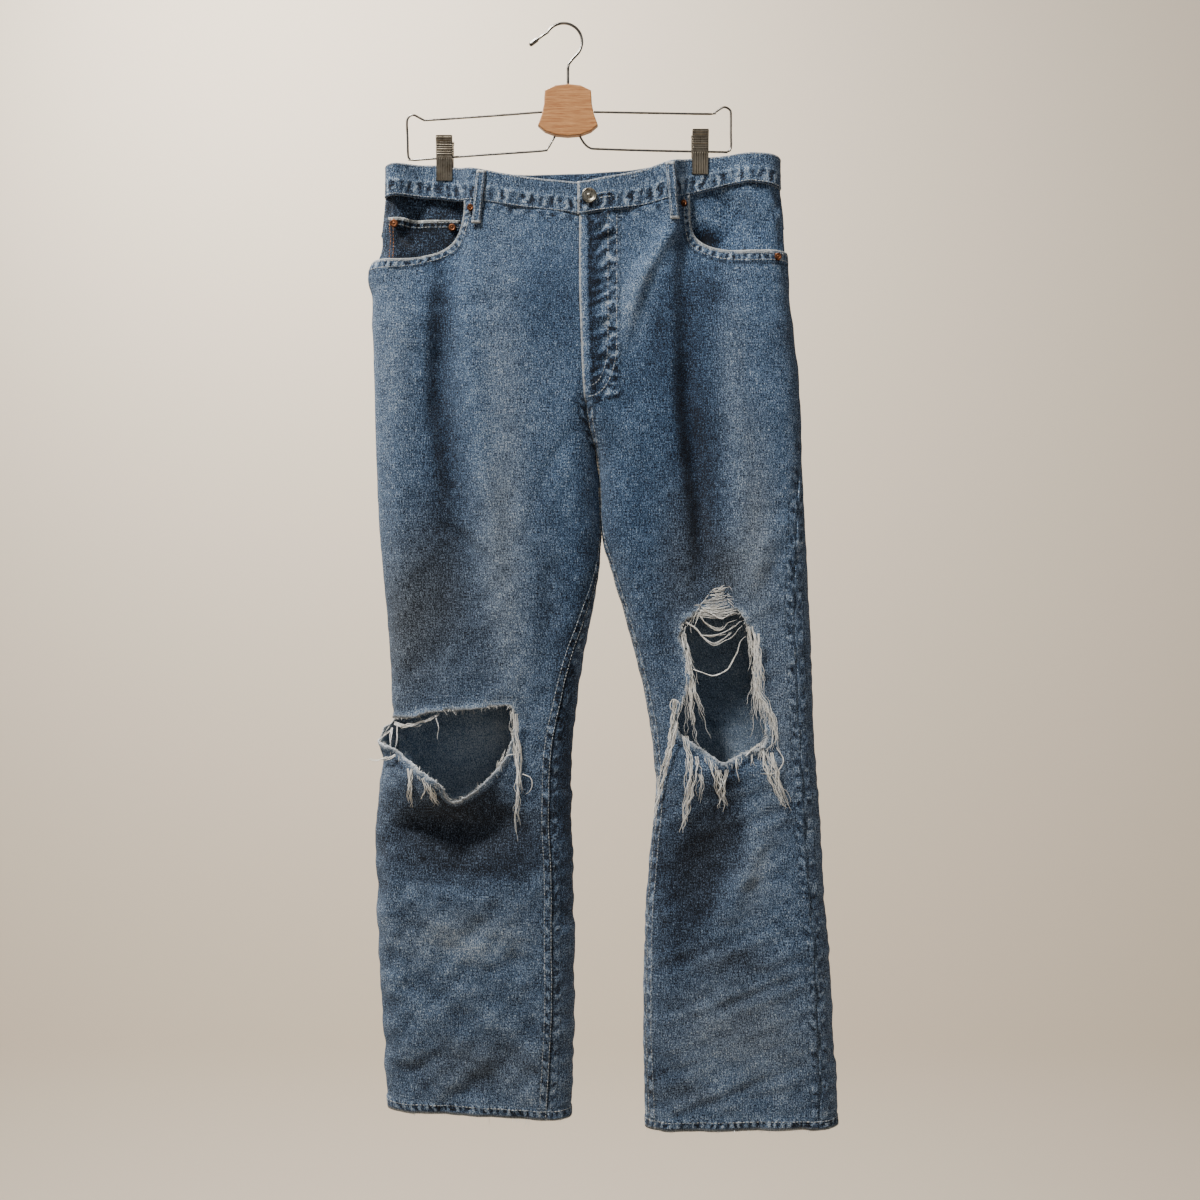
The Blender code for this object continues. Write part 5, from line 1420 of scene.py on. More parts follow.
def buildLayer(name, leg, inner, outer, top, bottom, depth, crumple, material, lighter, seam=0.0):
    # a layer behind a front panel, from its inner to its outer x (None for the side fold) and
    # from its top drop (None for the waist seam) down
    pattern = patterns["front_panel_" + leg]
    spine = np.linspace(inner, outerEdge(leg, 0.24) if outer is None else outer, 24)
    lower = flatPath(pattern, [(inner, bottom), (spine[-1], bottom)])
    start = 0.2 if top is None else top
    upper = flatPath(pattern, [(spine[-1], start), (inner, start)])
    if top is None:
        upper[:, 1] = pattern["drops"][0]
    if outer is None:
        for line, end in ((lower, -1), (upper, 0)):
            line[end, 0] = 0.0
    edges = [lower, upper]
    for k, line in enumerate((np.stack([lower[-1], upper[0]]), np.stack([upper[-1], lower[0]]))):
        t = np.linspace(0, 1, 30)[1:-1, None]
        edges.insert(2 * k + 1, line[:1] * (1 - t) + line[1:] * t)
    flat, faces = triangulate(np.vstack(edges), [], 0.003)
    position, normal, x, drop = placed(pattern, flat)
    fade, grey = toneAndPaintedLightOf(leg, "front", x, drop)
    folded = ripples(flat[:, 0], flat[:, 1], 131, (0.045, 0.022, 0.012), (1.0, 0.8, 0.4))
    settle = ease(flat[:, 1], pattern["drops"][0], pattern["drops"][0] + 0.016)
    rise = -depth - gape(pattern, flat) * 1.2 + crumple * (folded - 1.0) * settle
    room = np.minimum(bulge("front", x, drop) + bulge("back", x, drop),
                      meets(position, -normal, ("back_yoke_" + leg, "back_panel_" + leg)))
    rise = np.minimum(np.maximum(rise, -room + (0.0028 if top is not None else 0.0012)), -0.0011)
    dark = np.zeros(len(flat))
    if outer is None:
        rise = np.minimum(rise * ease(flat[:, 0], 0.0, 0.014), -0.0013)
        atWaist = fall(flat[:, 1], pattern["drops"][0], pattern["drops"][0] + 0.004)
        position[:, 2] += 0.0035 * ease(flat[:, 0], 0.006, 0.016) * atWaist
        if leg == "left":
            # a painted shadow in the gaping left mouth, and a raised crease painted paler as a painted
            # highlight
            dark += 1.9 * np.exp(-((x - 0.164) / 0.014) ** 2 - ((drop - 0.247) / 0.011) ** 2)
            crease, _ = spineDistance(x, drop, ((0.160, 0.220), (0.173, 0.230), (0.184, 0.249)))
            rise += 0.0016 * hump(crease, 0, 0.005)
            fade += 0.5 * hump(crease, 0, 0.0035)
    fray = np.zeros(len(flat))
    seams = [(np.full(len(flat), 1.0), x, 0.01, 0, 0.01, 0.0)]
    if top is not None:
        fray = 0.95 * fall(drop - top, 0.0008, 0.0026)
        seams = [(drop - top, x, 0.0070, 0.001, 0.0100, seam)]
    # the crumples are painted too: paler where raised and darker where sunk, as painted light and shade
    clothPiece(name, flat, faces, position, normal, rise, material, seams=seams,
               fade=fade * 0.5 + lighter + folded * crumple * 90, dark=dark, fray=fray, grey=grey * 0.5)


pocketLayers = {"below": 0.022, "beyond": 0.016, "coinTop": 0.225, "coinOuter": -0.2020, "coinInner": -0.1210}


def buildFrontPockets():
    layer = garment["cloth"] + garment["layerGap"]
    for leg in ("right", "left"):
        cornerX, _, sideX, sideDrop, _ = mouths[leg]
        inner = cornerX - math.copysign(pocketLayers["beyond"], sideX)
        layers, material, lighter = (2, "pocket", 0.12) if leg == "right" else (1, "denim", -0.04)
        buildLayer("pocket_facing_" + leg, leg, inner, None, None, sideDrop + pocketLayers["below"],
                   layer * layers + 0.0004, 0.0012, material, lighter)
    buildLayer("coin_pocket", "right", pocketLayers["coinInner"], pocketLayers["coinOuter"],
               pocketLayers["coinTop"], 0.294,
               layer, 0.0016, "pocket", -0.12, 0.9)
    pattern = patterns["front_panel_right"]
    coinTop, outer, inner = pocketLayers["coinTop"], pocketLayers["coinOuter"], pocketLayers["coinInner"]
    for inset in twinRows["coin"]:
        across = flatPath(pattern, [(outer + 0.002, coinTop + inset), (inner - 0.002, coinTop + inset)])
        down = flatPath(pattern, [(outer + inset, coinTop + 0.002), (outer + inset, 0.285)])
        addStitches("coin_pocket", pattern, [across])
        addStitches("coin_pocket", pattern, [down], "orangeThread")


for legName in ("right", "left"):
    buildYoke(legName)
    buildBackPocket(legName)
buildFrontPockets()
print("yokes and pockets ready")


# waistband and loops
bandLook = {"drop": 0.183, "cloth": 0.0026, "start": 0.0165, "overlap": 0.036, "ease": 0.05, "step": 0.0025,
            "rows": 16, "gap": 0.0006, "height": 0.037}


def closedLoft(name, rings, flat, marks):
    # joins closed sections into a solid with both ends shut; rings, flat and marks are [ring, point]
    n, m = np.shape(rings)[:2]
    faces = []
    for i in range(n - 1):
        for j in range(m):
            k = (j + 1) % m
            faces.append((i * m + j, i * m + k, (i + 1) * m + k, (i + 1) * m + j))
    faces.append(tuple(range(m))[::-1])
    faces.append(tuple((n - 1) * m + j for j in range(m)))
    plain = {key: np.zeros((n, m)) for key in ("dark", "seam", "run", "off")}
    marks = {**plain, "grey": np.full((n, m), 0.1), **marks}
    return meshObject(name, rings, faces, materials["denim"], flat, marks)


def bandPath():
    drop = [bandLook["drop"]]
    curves = {(leg, face): np.stack([c[0] for c in faceCurves(leg, face, drop)], axis=1)
              for leg in ("left", "right") for face in ("front", "back")}
    leftFront = curves["left", "front"][::-1]
    rightFront = curves["right", "front"]
    first = [[bandLook["start"], leftFront[0, 1]]]
    last = [[bandLook["start"] + bandLook["overlap"], leftFront[0, 1]]]
    points = np.vstack([first, leftFront, curves["left", "back"], curves["right", "back"][::-1], rightFront,
                        last])
    behind = np.ones(len(points))
    behind[:1 + len(leftFront)] = 0
    behind[-1 - len(rightFront):] = 0
    along = runOf(points)
    at = np.linspace(0, along[-1], int(along[-1] / bandLook["step"]))
    x, y = np.interp(at, along, points[:, 0]), np.interp(at, along, points[:, 1])
    back = np.interp(at, along, behind)
    lapped = fall(at, bandLook["overlap"], bandLook["overlap"] + bandLook["ease"])
    y = y - (bandLook["cloth"] + bandLook["gap"]) * lapped
    topDrop = fromTable(garment["waist"], 1, x) * (1 - back) + fromTable(garment["waist"], 3, x) * back
    seamDrop = fromTable(garment["waist"], 2, x) * (1 - back) + fromTable(garment["waist"], 4, x) * back
    return at, x, y, topDrop, seamDrop


def buildWaistband():
    at, x, y, topDrop, seamDrop = bandPath()
    tangent = np.stack([np.gradient(x), np.gradient(y)], axis=1)
    tangent /= np.linalg.norm(tangent, axis=1, keepdims=True)
    out = np.stack([tangent[:, 1], -tangent[:, 0]], axis=1)
    rows = bandLook["rows"]
    edge = np.array([0.0, 0.012, 0.035])
    t = np.concatenate([edge, np.linspace(0.08, 0.92, rows), 1 - edge[::-1]])
    profile = (1 - np.abs(2 * t - 1) ** 14) ** (1 / 3.0)
    gather = ripples(at[:, None], t[None, :] * 0.016, 101, (0.030, 0.017), (1.0, 0.8))
    lower = ease(t[None, :], 0.40, 0.62)
    rise = 0.0007 * gather * (0.25 + 0.75 * lower)
    rise = rise * (1 - 0.6 * ease(t[None, :], 0.9, 1.0))
    uneven = ripples(at[:, None], t[None, :], 103, (0.05,), (1.0,))
    crease = np.exp(-((t[None, :] - 0.52) / 0.05) ** 2) * (1 + 0.3 * uneven)
    rise = rise + 0.0005 * crease
    half = bandLook["cloth"] / 2
    level = topDrop[:, None] + t[None, :] * (seamDrop - topDrop)[:, None]
    outer, inner = (np.stack([x[:, None] + out[:, :1] * push, y[:, None] + out[:, 1:] * push, -level], axis=2)
                    for push in (profile * half + rise, rise * 0.5 - profile * half))
    rings = np.concatenate([outer, inner[:, -2:0:-1]], axis=1)
    tall = np.concatenate([t, t[-2:0:-1]])
    outside = np.concatenate([np.ones(len(t)), np.zeros(len(t) - 2)])
    n, m = rings.shape[:2]
    u = np.broadcast_to(at[:, None], (n, m))
    v = -np.broadcast_to(tall[None, :], (n, m)) * bandLook["height"]
    wide = np.broadcast_to(tall[None, :], (n, m))
    shown = np.broadcast_to(outside[None, :], (n, m))
    low = ease(wide, 0.46, 0.56) * fall(wide, 0.92, 0.98) * shown
    fade = 0.06 + shown * 0.42 * hump(wide, 0.50, 0.040)
    fade = fade + 0.14 * ripples(u, v, 109, (0.09, 0.05, 0.02), (1.0, 0.8, 0.6))
    fade = fade - 0.10 * shown * ease(wide, 0.1, 0.2) * fall(wide, 0.3, 0.44)
    endGap = np.minimum(u, at[-1] - u)
    fray = 0.55 * fall(wide, 0.008, 0.040) + 0.25 * shown * ease(wide, 0.985, 1.0)
    fray = fray + 0.9 * fall(endGap, 0.0002, 0.0014)
    # painted shade on the band's inner face and along its lower edge
    dark = (1 - shown) * 0.25 + shown * 0.5 * ease(wide, 0.93, 0.97) * fall(wide, 0.98, 1.0)
    hole = (np.abs(np.broadcast_to(x[:, None], (n, m)) - 0.048) < 0.0085) & (u < 0.3) & (shown > 0)
    dark = dark + 1.6 * hole * hump(wide, 0.53, 0.035)
    float(np.abs(seamDrop - topDrop).mean() * at[-1])
    made["waistband"] = closedLoft("waistband_cloth", rings, np.stack([u, v], axis=2), {
        "fade": fade, "dark": dark, "fray": np.clip(fray, 0, 1), "seam": low, "run": u / 0.0112,
        "off": np.clip((wide - 0.46) / 0.5, 0, 1)})
    outward = np.concatenate([out, np.zeros((len(out), 1))], axis=1)

    def sewn(rows, share):
        p = np.stack([x[rows], y[rows], -(topDrop[rows] + share * (seamDrop - topDrop)[rows])], axis=1)
        stitchLines["paleThread"].append(("waistband", p, outward[rows]))

    # two rows round the band, two about the buttonhole and one down its end
    for share in (0.055, 0.935):
        sewn(slice(1, -1), share)
    for share in (0.46, 0.60):
        sewn(np.nonzero((x > 0.0385) & (x < 0.0570) & (at < 0.3))[0], share)
    sewn(np.ones(14, int), np.linspace(0.06, 0.94, 14))


buildWaistband()


def cadPoints(name):
    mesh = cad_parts[name].data
    points = np.zeros(len(mesh.vertices) * 3)
    mesh.vertices.foreach_get("co", points)
    return points.reshape(-1, 3)


def corners(name):
    # the different corner points of a CAD node
    return np.unique(cadPoints(name).round(6), axis=0)


loopLook = {"width": 0.0105, "cloth": 0.0016, "rows": 36}


def buildLoop(name):
    # a folded strip along the middle of its solid, bunched a little where it is tacked down
    points = corners(name)
    points = points[np.argsort(-points[:, 2])]
    middle = points[:len(points) // 4 * 4].reshape(-1, 4, 3).mean(axis=1)
    outward = -1.0 if "front" in name else 1.0
    t = np.linspace(0, 1, loopLook["rows"])
    knots = np.linspace(0, 1, len(middle))
    centre = np.stack([smooth(knots, middle[:, k], t) for k in range(3)], axis=1)
    half = loopLook["width"] / 2
    across = np.linspace(-1, 1, 9)
    bunch = 0.0005 * hump(t, 0, 0.09) + 0.0005 * hump(1, t, 0.09)
    wobble = ripples(t * 0.06, t * 0.0, 113 + len(name), (0.018, 0.009), (0.0003, 0.0002))
    rings, uvs, fades, frays = [], [], [], []
    for k in range(len(t)):
        crown = (1 - np.abs(across) ** 6) ** 0.5
        ridge = 0.0004 * np.exp(-((np.abs(across) - 0.55) / 0.14) ** 2)
        high = outward * (loopLook["cloth"] / 2 * crown + ridge + bunch[k] + wobble[k])
        low = -outward * loopLook["cloth"] / 2 * crown
        wide = half * (1 + 0.05 * math.sin(7 * t[k]))
        top = [(centre[k, 0] + a * wide, centre[k, 1] + h, centre[k, 2]) for a, h in zip(across, high)]
        under = [(centre[k, 0] + a * wide, centre[k, 1] + h, centre[k, 2])
                 for a, h in zip(across[-2:0:-1], low[-2:0:-1])]
        rings.append(top + under)
        uvs.append([(a * half + 0.3, -t[k] * 0.06) for a in list(across) + list(across[-2:0:-1])])
        edge = [0.4 if abs(a) > 0.95 else 0.0 for a in across] + [0.0] * 7
        frays.append([min(e + 0.8 * (t[k] < 0.04) + 0.8 * (t[k] > 0.97), 1.0) for e in edge])
        fades.append([0.40 * math.exp(-((abs(a) - 0.62) / 0.16) ** 2) - 0.10 for a in across] + [0.0] * 7)
    made[name] = closedLoft(name + "_cloth", rings, uvs, {"fade": fades, "fray": frays})
    for a in (-0.55, 0.55):
        line = centre + np.array([a * half, 0, 0])
        stitchLines["paleThread"].append((name, line[1:-1], np.tile([0, outward, 0], (len(line) - 2, 1))))


for loopName in [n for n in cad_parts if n.startswith("belt_loop")]:
    buildLoop(loopName)
print("waistband and loops ready")


# small metal parts, turned and bent
def turned(name, radius, face, sides, material, cloth=None):
    # a face turned round, as shares of the radius and of the height: it stands forward of the
    # middle of its solid, or on a finished piece of cloth
    low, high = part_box(name)
    centre = [(a + b) / 2 for a, b in zip(low, high)]
    height = high[1] - low[1]
    seat = laidOn(cloth, [centre], [(0.0, -1.0, 0.0)], height * 0.4) if cloth else ()
    if len(seat):
        centre[1] = seat[0][1]
    rings = []
    for k in range(sides):
        a = 2 * math.pi * k / sides
        rings.append([(centre[0] + radius * r * math.cos(a), centre[1] - (height * h - height / 2),
                       centre[2] + radius * r * math.sin(a)) for r, h in face])
    m = len(face)
    faces = [(k * m + j, (k + 1) % sides * m + j, (k + 1) % sides * m + j + 1, k * m + j + 1)
             for k in range(sides) for j in range(m - 1)]
    made[name] = meshObject(name + "_turned", rings, faces, materials[material])


# domed rim, sunk ring and a plain raised middle
buttonLook = {"radius": 0.0086, "sides": 72, "face": pairs((
    0.0, 0.86, 0.12, 0.84, 0.20, 0.74, 0.25, 0.60, 0.30, 0.55, 0.44, 0.56, 0.55, 0.60, 0.62, 0.70, 0.66, 0.74,
    0.70, 0.72, 0.73, 0.66, 0.76, 0.68, 0.80, 0.86, 0.87, 0.98, 0.93, 0.96, 0.98, 0.80, 1.0, 0.55, 0.99, 0.30,
    0.94, 0.14, 0.60, 0.06, 0.42, 0.0, 0.0, 0.0))}
rivetLook = {"sides": 40, "face": pairs((
    0.0, 1.0, 0.14, 0.97, 0.24, 0.74, 0.32, 0.66, 0.46, 0.70, 0.60, 0.78, 0.76, 0.80, 0.88, 0.70, 0.96, 0.48,
    1.0, 0.22, 0.98, 0.0, 0.5, 0.0, 0.0, 0.0))}


rivetCloth = {"rivet_mouth_right": "front_panel_right", "rivet_coin_outer": "coin_pocket",
              "rivet_coin_inner": "coin_pocket",
              "rivet_mouth_left": "front_panel_left", "rivet_side_left": "front_panel_left"}


turned("waist_button", buttonLook["radius"], buttonLook["face"], buttonLook["sides"], "nickel")
for rivetName in [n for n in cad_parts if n.startswith("rivet")]:
    rivetLow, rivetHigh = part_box(rivetName)
    turned(rivetName, (rivetHigh[0] - rivetLow[0]) / 2, rivetLook["face"], rivetLook["sides"], "copper",
           rivetCloth[rivetName])


clipLook = {"columns": 57, "rows": 64, "ribs": 9, "flutes": 7, "rib": 0.00055, "flute": 0.00050,
            "sheet": 0.0007}


def buildJaw(name):
    # a pressed sheet jaw: ribs across its upper part, flutes down its lower part
    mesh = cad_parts[name].data
    points = cadPoints(name)
    outward = -1.0 if "front" in name else 1.0
    low, high = points.min(0), points.max(0)
    # the jaw's outline and the middle of its outer face, read level by level from its solid
    mesh.calc_loop_triangles()
    tris = np.array([tuple(t.vertices) for t in mesh.loop_triangles])
    rows, columns = clipLook["rows"], clipLook["columns"]
    zs = np.linspace(high[2] - 0.0003, low[2] + 0.0003, rows)
    spans = []
    for z in zs:
        a, b = points[tris], np.roll(points[tris], -1, axis=1)
        crosses = (a[:, :, 2] - z) * (b[:, :, 2] - z) < 0
        share = ((z - a[:, :, 2]) / (b[:, :, 2] - a[:, :, 2] + 1e-12))[:, :, None]
        cut = (a + (b - a) * share)[crosses]
        middle = np.abs(cut[:, 0] - (cut[:, 0].min() + cut[:, 0].max()) / 2) < 0.004
        ys = cut[middle, 1] if middle.any() else cut[:, 1]
        spans.append((cut[:, 0].min(), cut[:, 0].max(), ys.min() if outward < 0 else ys.max()))
    spans = np.array(spans)
    kernel = np.ones(9) / 9
    spans[:, 2] = np.convolve(np.pad(spans[:, 2], 4, mode="edge"), kernel, mode="valid")
    grid = np.zeros((rows, columns, 3))
    grid[:, :, 0] = spans[:, :1] + (spans[:, 1:2] - spans[:, :1]) * np.linspace(0, 1, columns)
    grid[:, :, 1] = spans[:, 2:]
    grid[:, :, 2] = zs[:, None]
    down = np.linspace(0, 1, rows)[:, None]
    across = np.linspace(-1, 1, columns)[None, :]
    split = 0.46
    upper = fall(down, split - 0.03, split)
    lower = ease(down, split + 0.02, split + 0.07)
    edgeFade = fall(np.abs(across), 0.90, 1.0)
    relief = clipLook["rib"] * upper * np.cos(down / split * clipLook["ribs"] * 2 * math.pi) * edgeFade
    relief = relief + clipLook["flute"] * lower * np.cos(across * clipLook["flutes"] * math.pi) * edgeFade
    relief = relief - 0.0012 * ease(np.abs(across), 0.92, 1.0)
    grid[:, :, 1] += outward * (relief - 0.0004)
    back = grid.copy()
    back[:, :, 1] -= outward * clipLook["sheet"]
    verts = np.concatenate([grid.reshape(-1, 3), back.reshape(-1, 3)])
    n = rows * columns
    faces = []
    for i in range(rows - 1):
        for j in range(columns - 1):
            k = i * columns + j
            faces.append((k, k + 1, k + columns + 1, k + columns))
            faces.append((n + k, n + k + columns, n + k + columns + 1, n + k + 1))
    border = [j for j in range(columns)] + [i * columns + columns - 1 for i in range(1, rows)]
    border += [(rows - 1) * columns + j for j in range(columns - 2, -1, -1)]
    border += [i * columns for i in range(rows - 2, 0, -1)]
    for a, b in zip(border, border[1:] + border[:1]):
        faces.append((a, n + a, n + b, b))
    made[name] = meshObject(name + "_pressed", verts, faces, materials["clip"])


for jawName in [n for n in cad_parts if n.endswith("_jaw")]:
    buildJaw(jawName)
print("metal parts ready")


# stitches, one tree for every row
def finishTree(tree, shape, material, out):
    real = node(tree, "GeometryNodeRealizeInstances", {"Geometry": shape})["Geometry"]
    smoothed = node(tree, "GeometryNodeSetShadeSmooth", {"Geometry": real})["Geometry"]
    painted = node(tree, "GeometryNodeSetMaterial", {"Material": material, "Geometry": smoothed})["Geometry"]
    connect(tree, painted, out.inputs["Geometry"])
    return tree


def stitchTree(name, material):
    tree, given, out = newGroup(name, {"Geometry": "Geometry", "Length": 0.0026, "Gap": 0.0011,
                                       "Thickness": 0.00035, "Seed": 3},
                                {"Geometry": "Geometry"}, "GeometryNodeTree")
    pitch = given["Length"] + given["Gap"]
    points = node(tree, "GeometryNodeCurveToPoints", {"Curve": given["Geometry"], "Length": pitch},
                  mode="LENGTH")
    # one stitch: a short rounded bar along Z, turned to run along the row
    half = given["Length"] * 0.5
    line = node(tree, "GeometryNodeCurvePrimitiveLine", mode="POINTS")
    for end, direction in (("Start", -1.0), ("End", 1.0)):
        connect(tree, node(tree, "ShaderNodeCombineXYZ", {"Z": half * direction})[0], line.made.inputs[end])
    bar = node(tree, "GeometryNodeResampleCurve", {"Count": 5, "Curve": line["Curve"]})
    swell = node(tree, "GeometryNodeSplineParameter")["Factor"].math("PINGPONG", 0.5)
    shape = node(tree, "ShaderNodeMapRange",
                 {"From Max": 0.25, "To Min": 0.45, "To Max": 1.0, "Value": swell},
                 interpolation_type="SMOOTHSTEP")
    size = given["Thickness"] * shape["Result"]
    section = node(tree, "GeometryNodeCurvePrimitiveCircle", {"Resolution": 6, "Radius": 1.0})
    tube = node(tree, "GeometryNodeCurveToMesh", {"Fill Caps": True, "Curve": bar["Curve"],
                                                  "Profile Curve": section["Curve"], "Scale": size})
    # a little uneven, as a machine's row is after years of washing
    jitter = node(tree, "FunctionNodeRandomValue", {"Min": (-0.05, -0.05, -0.06), "Max": (0.05, 0.05, 0.06),
                                                    "Seed": given["Seed"]}, data_type="FLOAT_VECTOR")
    turn = node(tree, "FunctionNodeRotateRotation", {"Rotation": points["Rotation"], "Rotate By": jitter[0]},
                rotation_space="LOCAL")
    scales = node(tree, "FunctionNodeRandomValue", {2: 0.86, 3: 1.08, "Seed": given["Seed"]})
    lay = node(tree, "GeometryNodeInstanceOnPoints", {"Points": points["Points"], "Instance": tube["Mesh"],
                                                      "Rotation": turn[0], "Scale": scales[1]})
    return finishTree(tree, lay["Instances"], material, out)


def setInputs(modifier, values):
    for item in modifier.node_group.interface.items_tree:
        if item.in_out == "INPUT" and item.name in values:
            modifier[item.identifier] = values[item.name]


def splineRows(name, lines, scales=None):
    data = bpy.data.curves.new(name, "CURVE")
    data.dimensions = "3D"
    for k, line in enumerate(lines):
        if len(line) < 2:
            continue
        spline = data.splines.new("POLY")
        spline.points.add(len(line) - 1)
        spline.points.foreach_set("co", np.concatenate([line, np.ones((len(line), 1))], axis=1).ravel())
        if scales is not None:
            spline.points.foreach_set("radius", scales[k] * (1 - 0.55 * np.linspace(0, 1, len(line)) ** 3))
    return link(bpy.data.objects.new(name, data))


def grown(rows, tree, values, name):
    # what a tree makes of rows of splines, as a mesh
    modifier = rows.modifiers.new("grown", "NODES")
    modifier.node_group = tree
    setInputs(modifier, values)
    return evaluated(rows, name)


stitchLook = {
    "paleThread": {"Length": 0.0029, "Gap": 0.0011, "Thickness": 0.00040, "Seed": 5},
    "orangeThread": {"Length": 0.0027, "Gap": 0.0010, "Thickness": 0.00040, "Seed": 9},
}


def buildStitches():
    for thread, lines in stitchLines.items():
        name, look = "stitches_" + thread, stitchLook[thread]
        laid = [laidOn(piece, place, outward, 0.5 * look["Thickness"]) for piece, place, outward in lines]
        rows = splineRows(thread + "_rows", laid)
        made[name] = grown(rows, stitchTree(thread + "Rows", materials[thread]), look, name)


buildStitches()
print("stitches ready")


# yarns, pulled threads and frayed edges
def yarnTree(name, material):
    # a tube of its own radius along every curve, thinner towards the loose end
    tree, given, out = newGroup(name, {"Geometry": "Geometry", "Radius": 0.0002, "Sides": 4},
                                {"Geometry": "Geometry"},
                                "GeometryNodeTree")
    section = node(tree, "GeometryNodeCurvePrimitiveCircle",
                   {"Resolution": given["Sides"], "Radius": given["Radius"]})
    own = node(tree, "GeometryNodeInputNamedAttribute", {"Name": "radius"})
    tube = node(tree, "GeometryNodeCurveToMesh", {"Fill Caps": True, "Curve": given["Geometry"],
                                                  "Profile Curve": section["Curve"],
                                                  "Scale": own["Attribute"]})
    return finishTree(tree, tube["Mesh"], material, out)


yarnLines = {}     # piece name -> list of (points, radius scale)


def addYarn(piece, points, scale=1.0):
    yarnLines.setdefault(piece, []).append((np.asarray(points, float), scale))


def onCloth(leg, points, proud):
    # (x, drop) points in front of a leg's front cloth, or across its tear
    pattern = patterns["front_panel_" + leg]
    points = np.array(points, float)
    s, level = flatAt(pattern, points[:, 0], points[:, 1])
    position = sample(pattern, s, level)
    position[:, 1] -= proud
    return position


def bundle(piece, dice, path, yarns, widths, curl=0.0011, size=1.0):
    # a hank of loose yarns along a path in space, spread by its widths at the start and end,
    # each with its own waves and length, and a few straying
    path = np.asarray(path, float)
    along = np.concatenate([[0], np.cumsum(np.linalg.norm(np.diff(path, axis=0), axis=1))])
    length = along[-1]
    for _ in range(yarns):
        stray = dice.random() < 0.14
        reach = length * dice.uniform(0.45 if stray else 0.72, 1.04)
        count = max(int(reach / 0.0032), 5)
        at = np.linspace(0, reach, count)
        t = at / length
        line = np.stack([smooth(along, path[:, k], np.clip(at, 0, length)) for k in range(3)], axis=1)
        line[:, 2] -= np.clip(at - length, 0, None)
        first, last = dice.uniform(-0.5, 0.5), dice.normal(0, 0.30)
        shift = first * widths[0] * (1 - t) + last * widths[1] * t
        across = unit(np.gradient(line[:, [0, 2]], axis=0))
        grow = np.clip(t * 5, 0, 1)
        a, b, c = dice.uniform(0, 6.3, 3)
        pitch = dice.uniform(0.014, 0.030)
        wave = np.sin(at / pitch * 6.3 + a) + 0.25 * np.sin(at / pitch * 16 + b)
        wave = curl * grow * wave * (1.8 if stray else 1.0)
        shift = shift + wave
        if stray:
            shift = shift + dice.choice((-1, 1)) * 0.006 * t ** 2
        line[:, 0] += across[:, 1] * shift
        line[:, 2] -= across[:, 0] * shift
        line[:, 1] += -abs(dice.normal(0, 0.0007)) + 0.5 * curl * grow * np.sin(at / pitch * 6.3 + c)
        addYarn(piece, line, size * dice.uniform(0.55, 1.05))


def hanging(piece, dice, leg, points, count, lengths, lean=0.0, size=1.0):
    # separate loose ends that hang from along an edge
    points = np.array(points, float)
    along = runOf(points)
    for _ in range(count):
        at = dice.uniform(0, along[-1])
        x, drop = (np.interp(at, along, points[:, k]) for k in (0, 1))
        length = dice.uniform(*lengths)
        t = np.linspace(0, 1, max(int(length / 0.0032), 5))
        a, b = dice.uniform(0, 6.3, 2)
        wave = 0.0011 * t ** 0.5 * np.sin(length * t / dice.uniform(0.012, 0.026) * 6.3 + a)
        line = np.stack([x + dice.normal(0, 0.0012) + dice.normal(lean, 0.14) * length * t + wave,
                         drop + dice.normal(0, 0.0012) + length * t], axis=1)
        place = onCloth(leg, line, 0.0006)
        place[:, 1] -= (0.0010 + 0.0022 * dice.random()) * t + 0.0004 * np.sin(t * 9 + b)
        addYarn(piece, place, size * dice.uniform(0.6, 1.2))


# loose ends along the edges: count, then in thousandths shortest, longest, lean, x and drop by turns
looseEnds = {
    "left": (
        (30, 10, 52, 60, 207, 688, 215, 708, 217, 745, 219, 772), (26, 8, 24, 200, 214, 735, 220, 765),
        (34, 6, 28, 120, 221, 768, 235, 785, 240, 812), (22, 6, 20, -50, 209, 832, 226, 822, 236, 828),
        (24, 18, 70, 120, 136, 696, 142, 728, 145, 756), (10, 6, 20, -300, 137, 694, 150, 679, 162, 674),
        (10, 4, 14, 100, 160, 833, 180, 845, 203, 836),
    ),
    "right": (
        (11, 10, 36, 50, -58, 784, -55, 800, -56, 818), (8, 8, 22, -250, -62, 828, -72, 846),
        (12, 5, 14, 100, -196, 827, -160, 848, -135, 868),
    ),
}


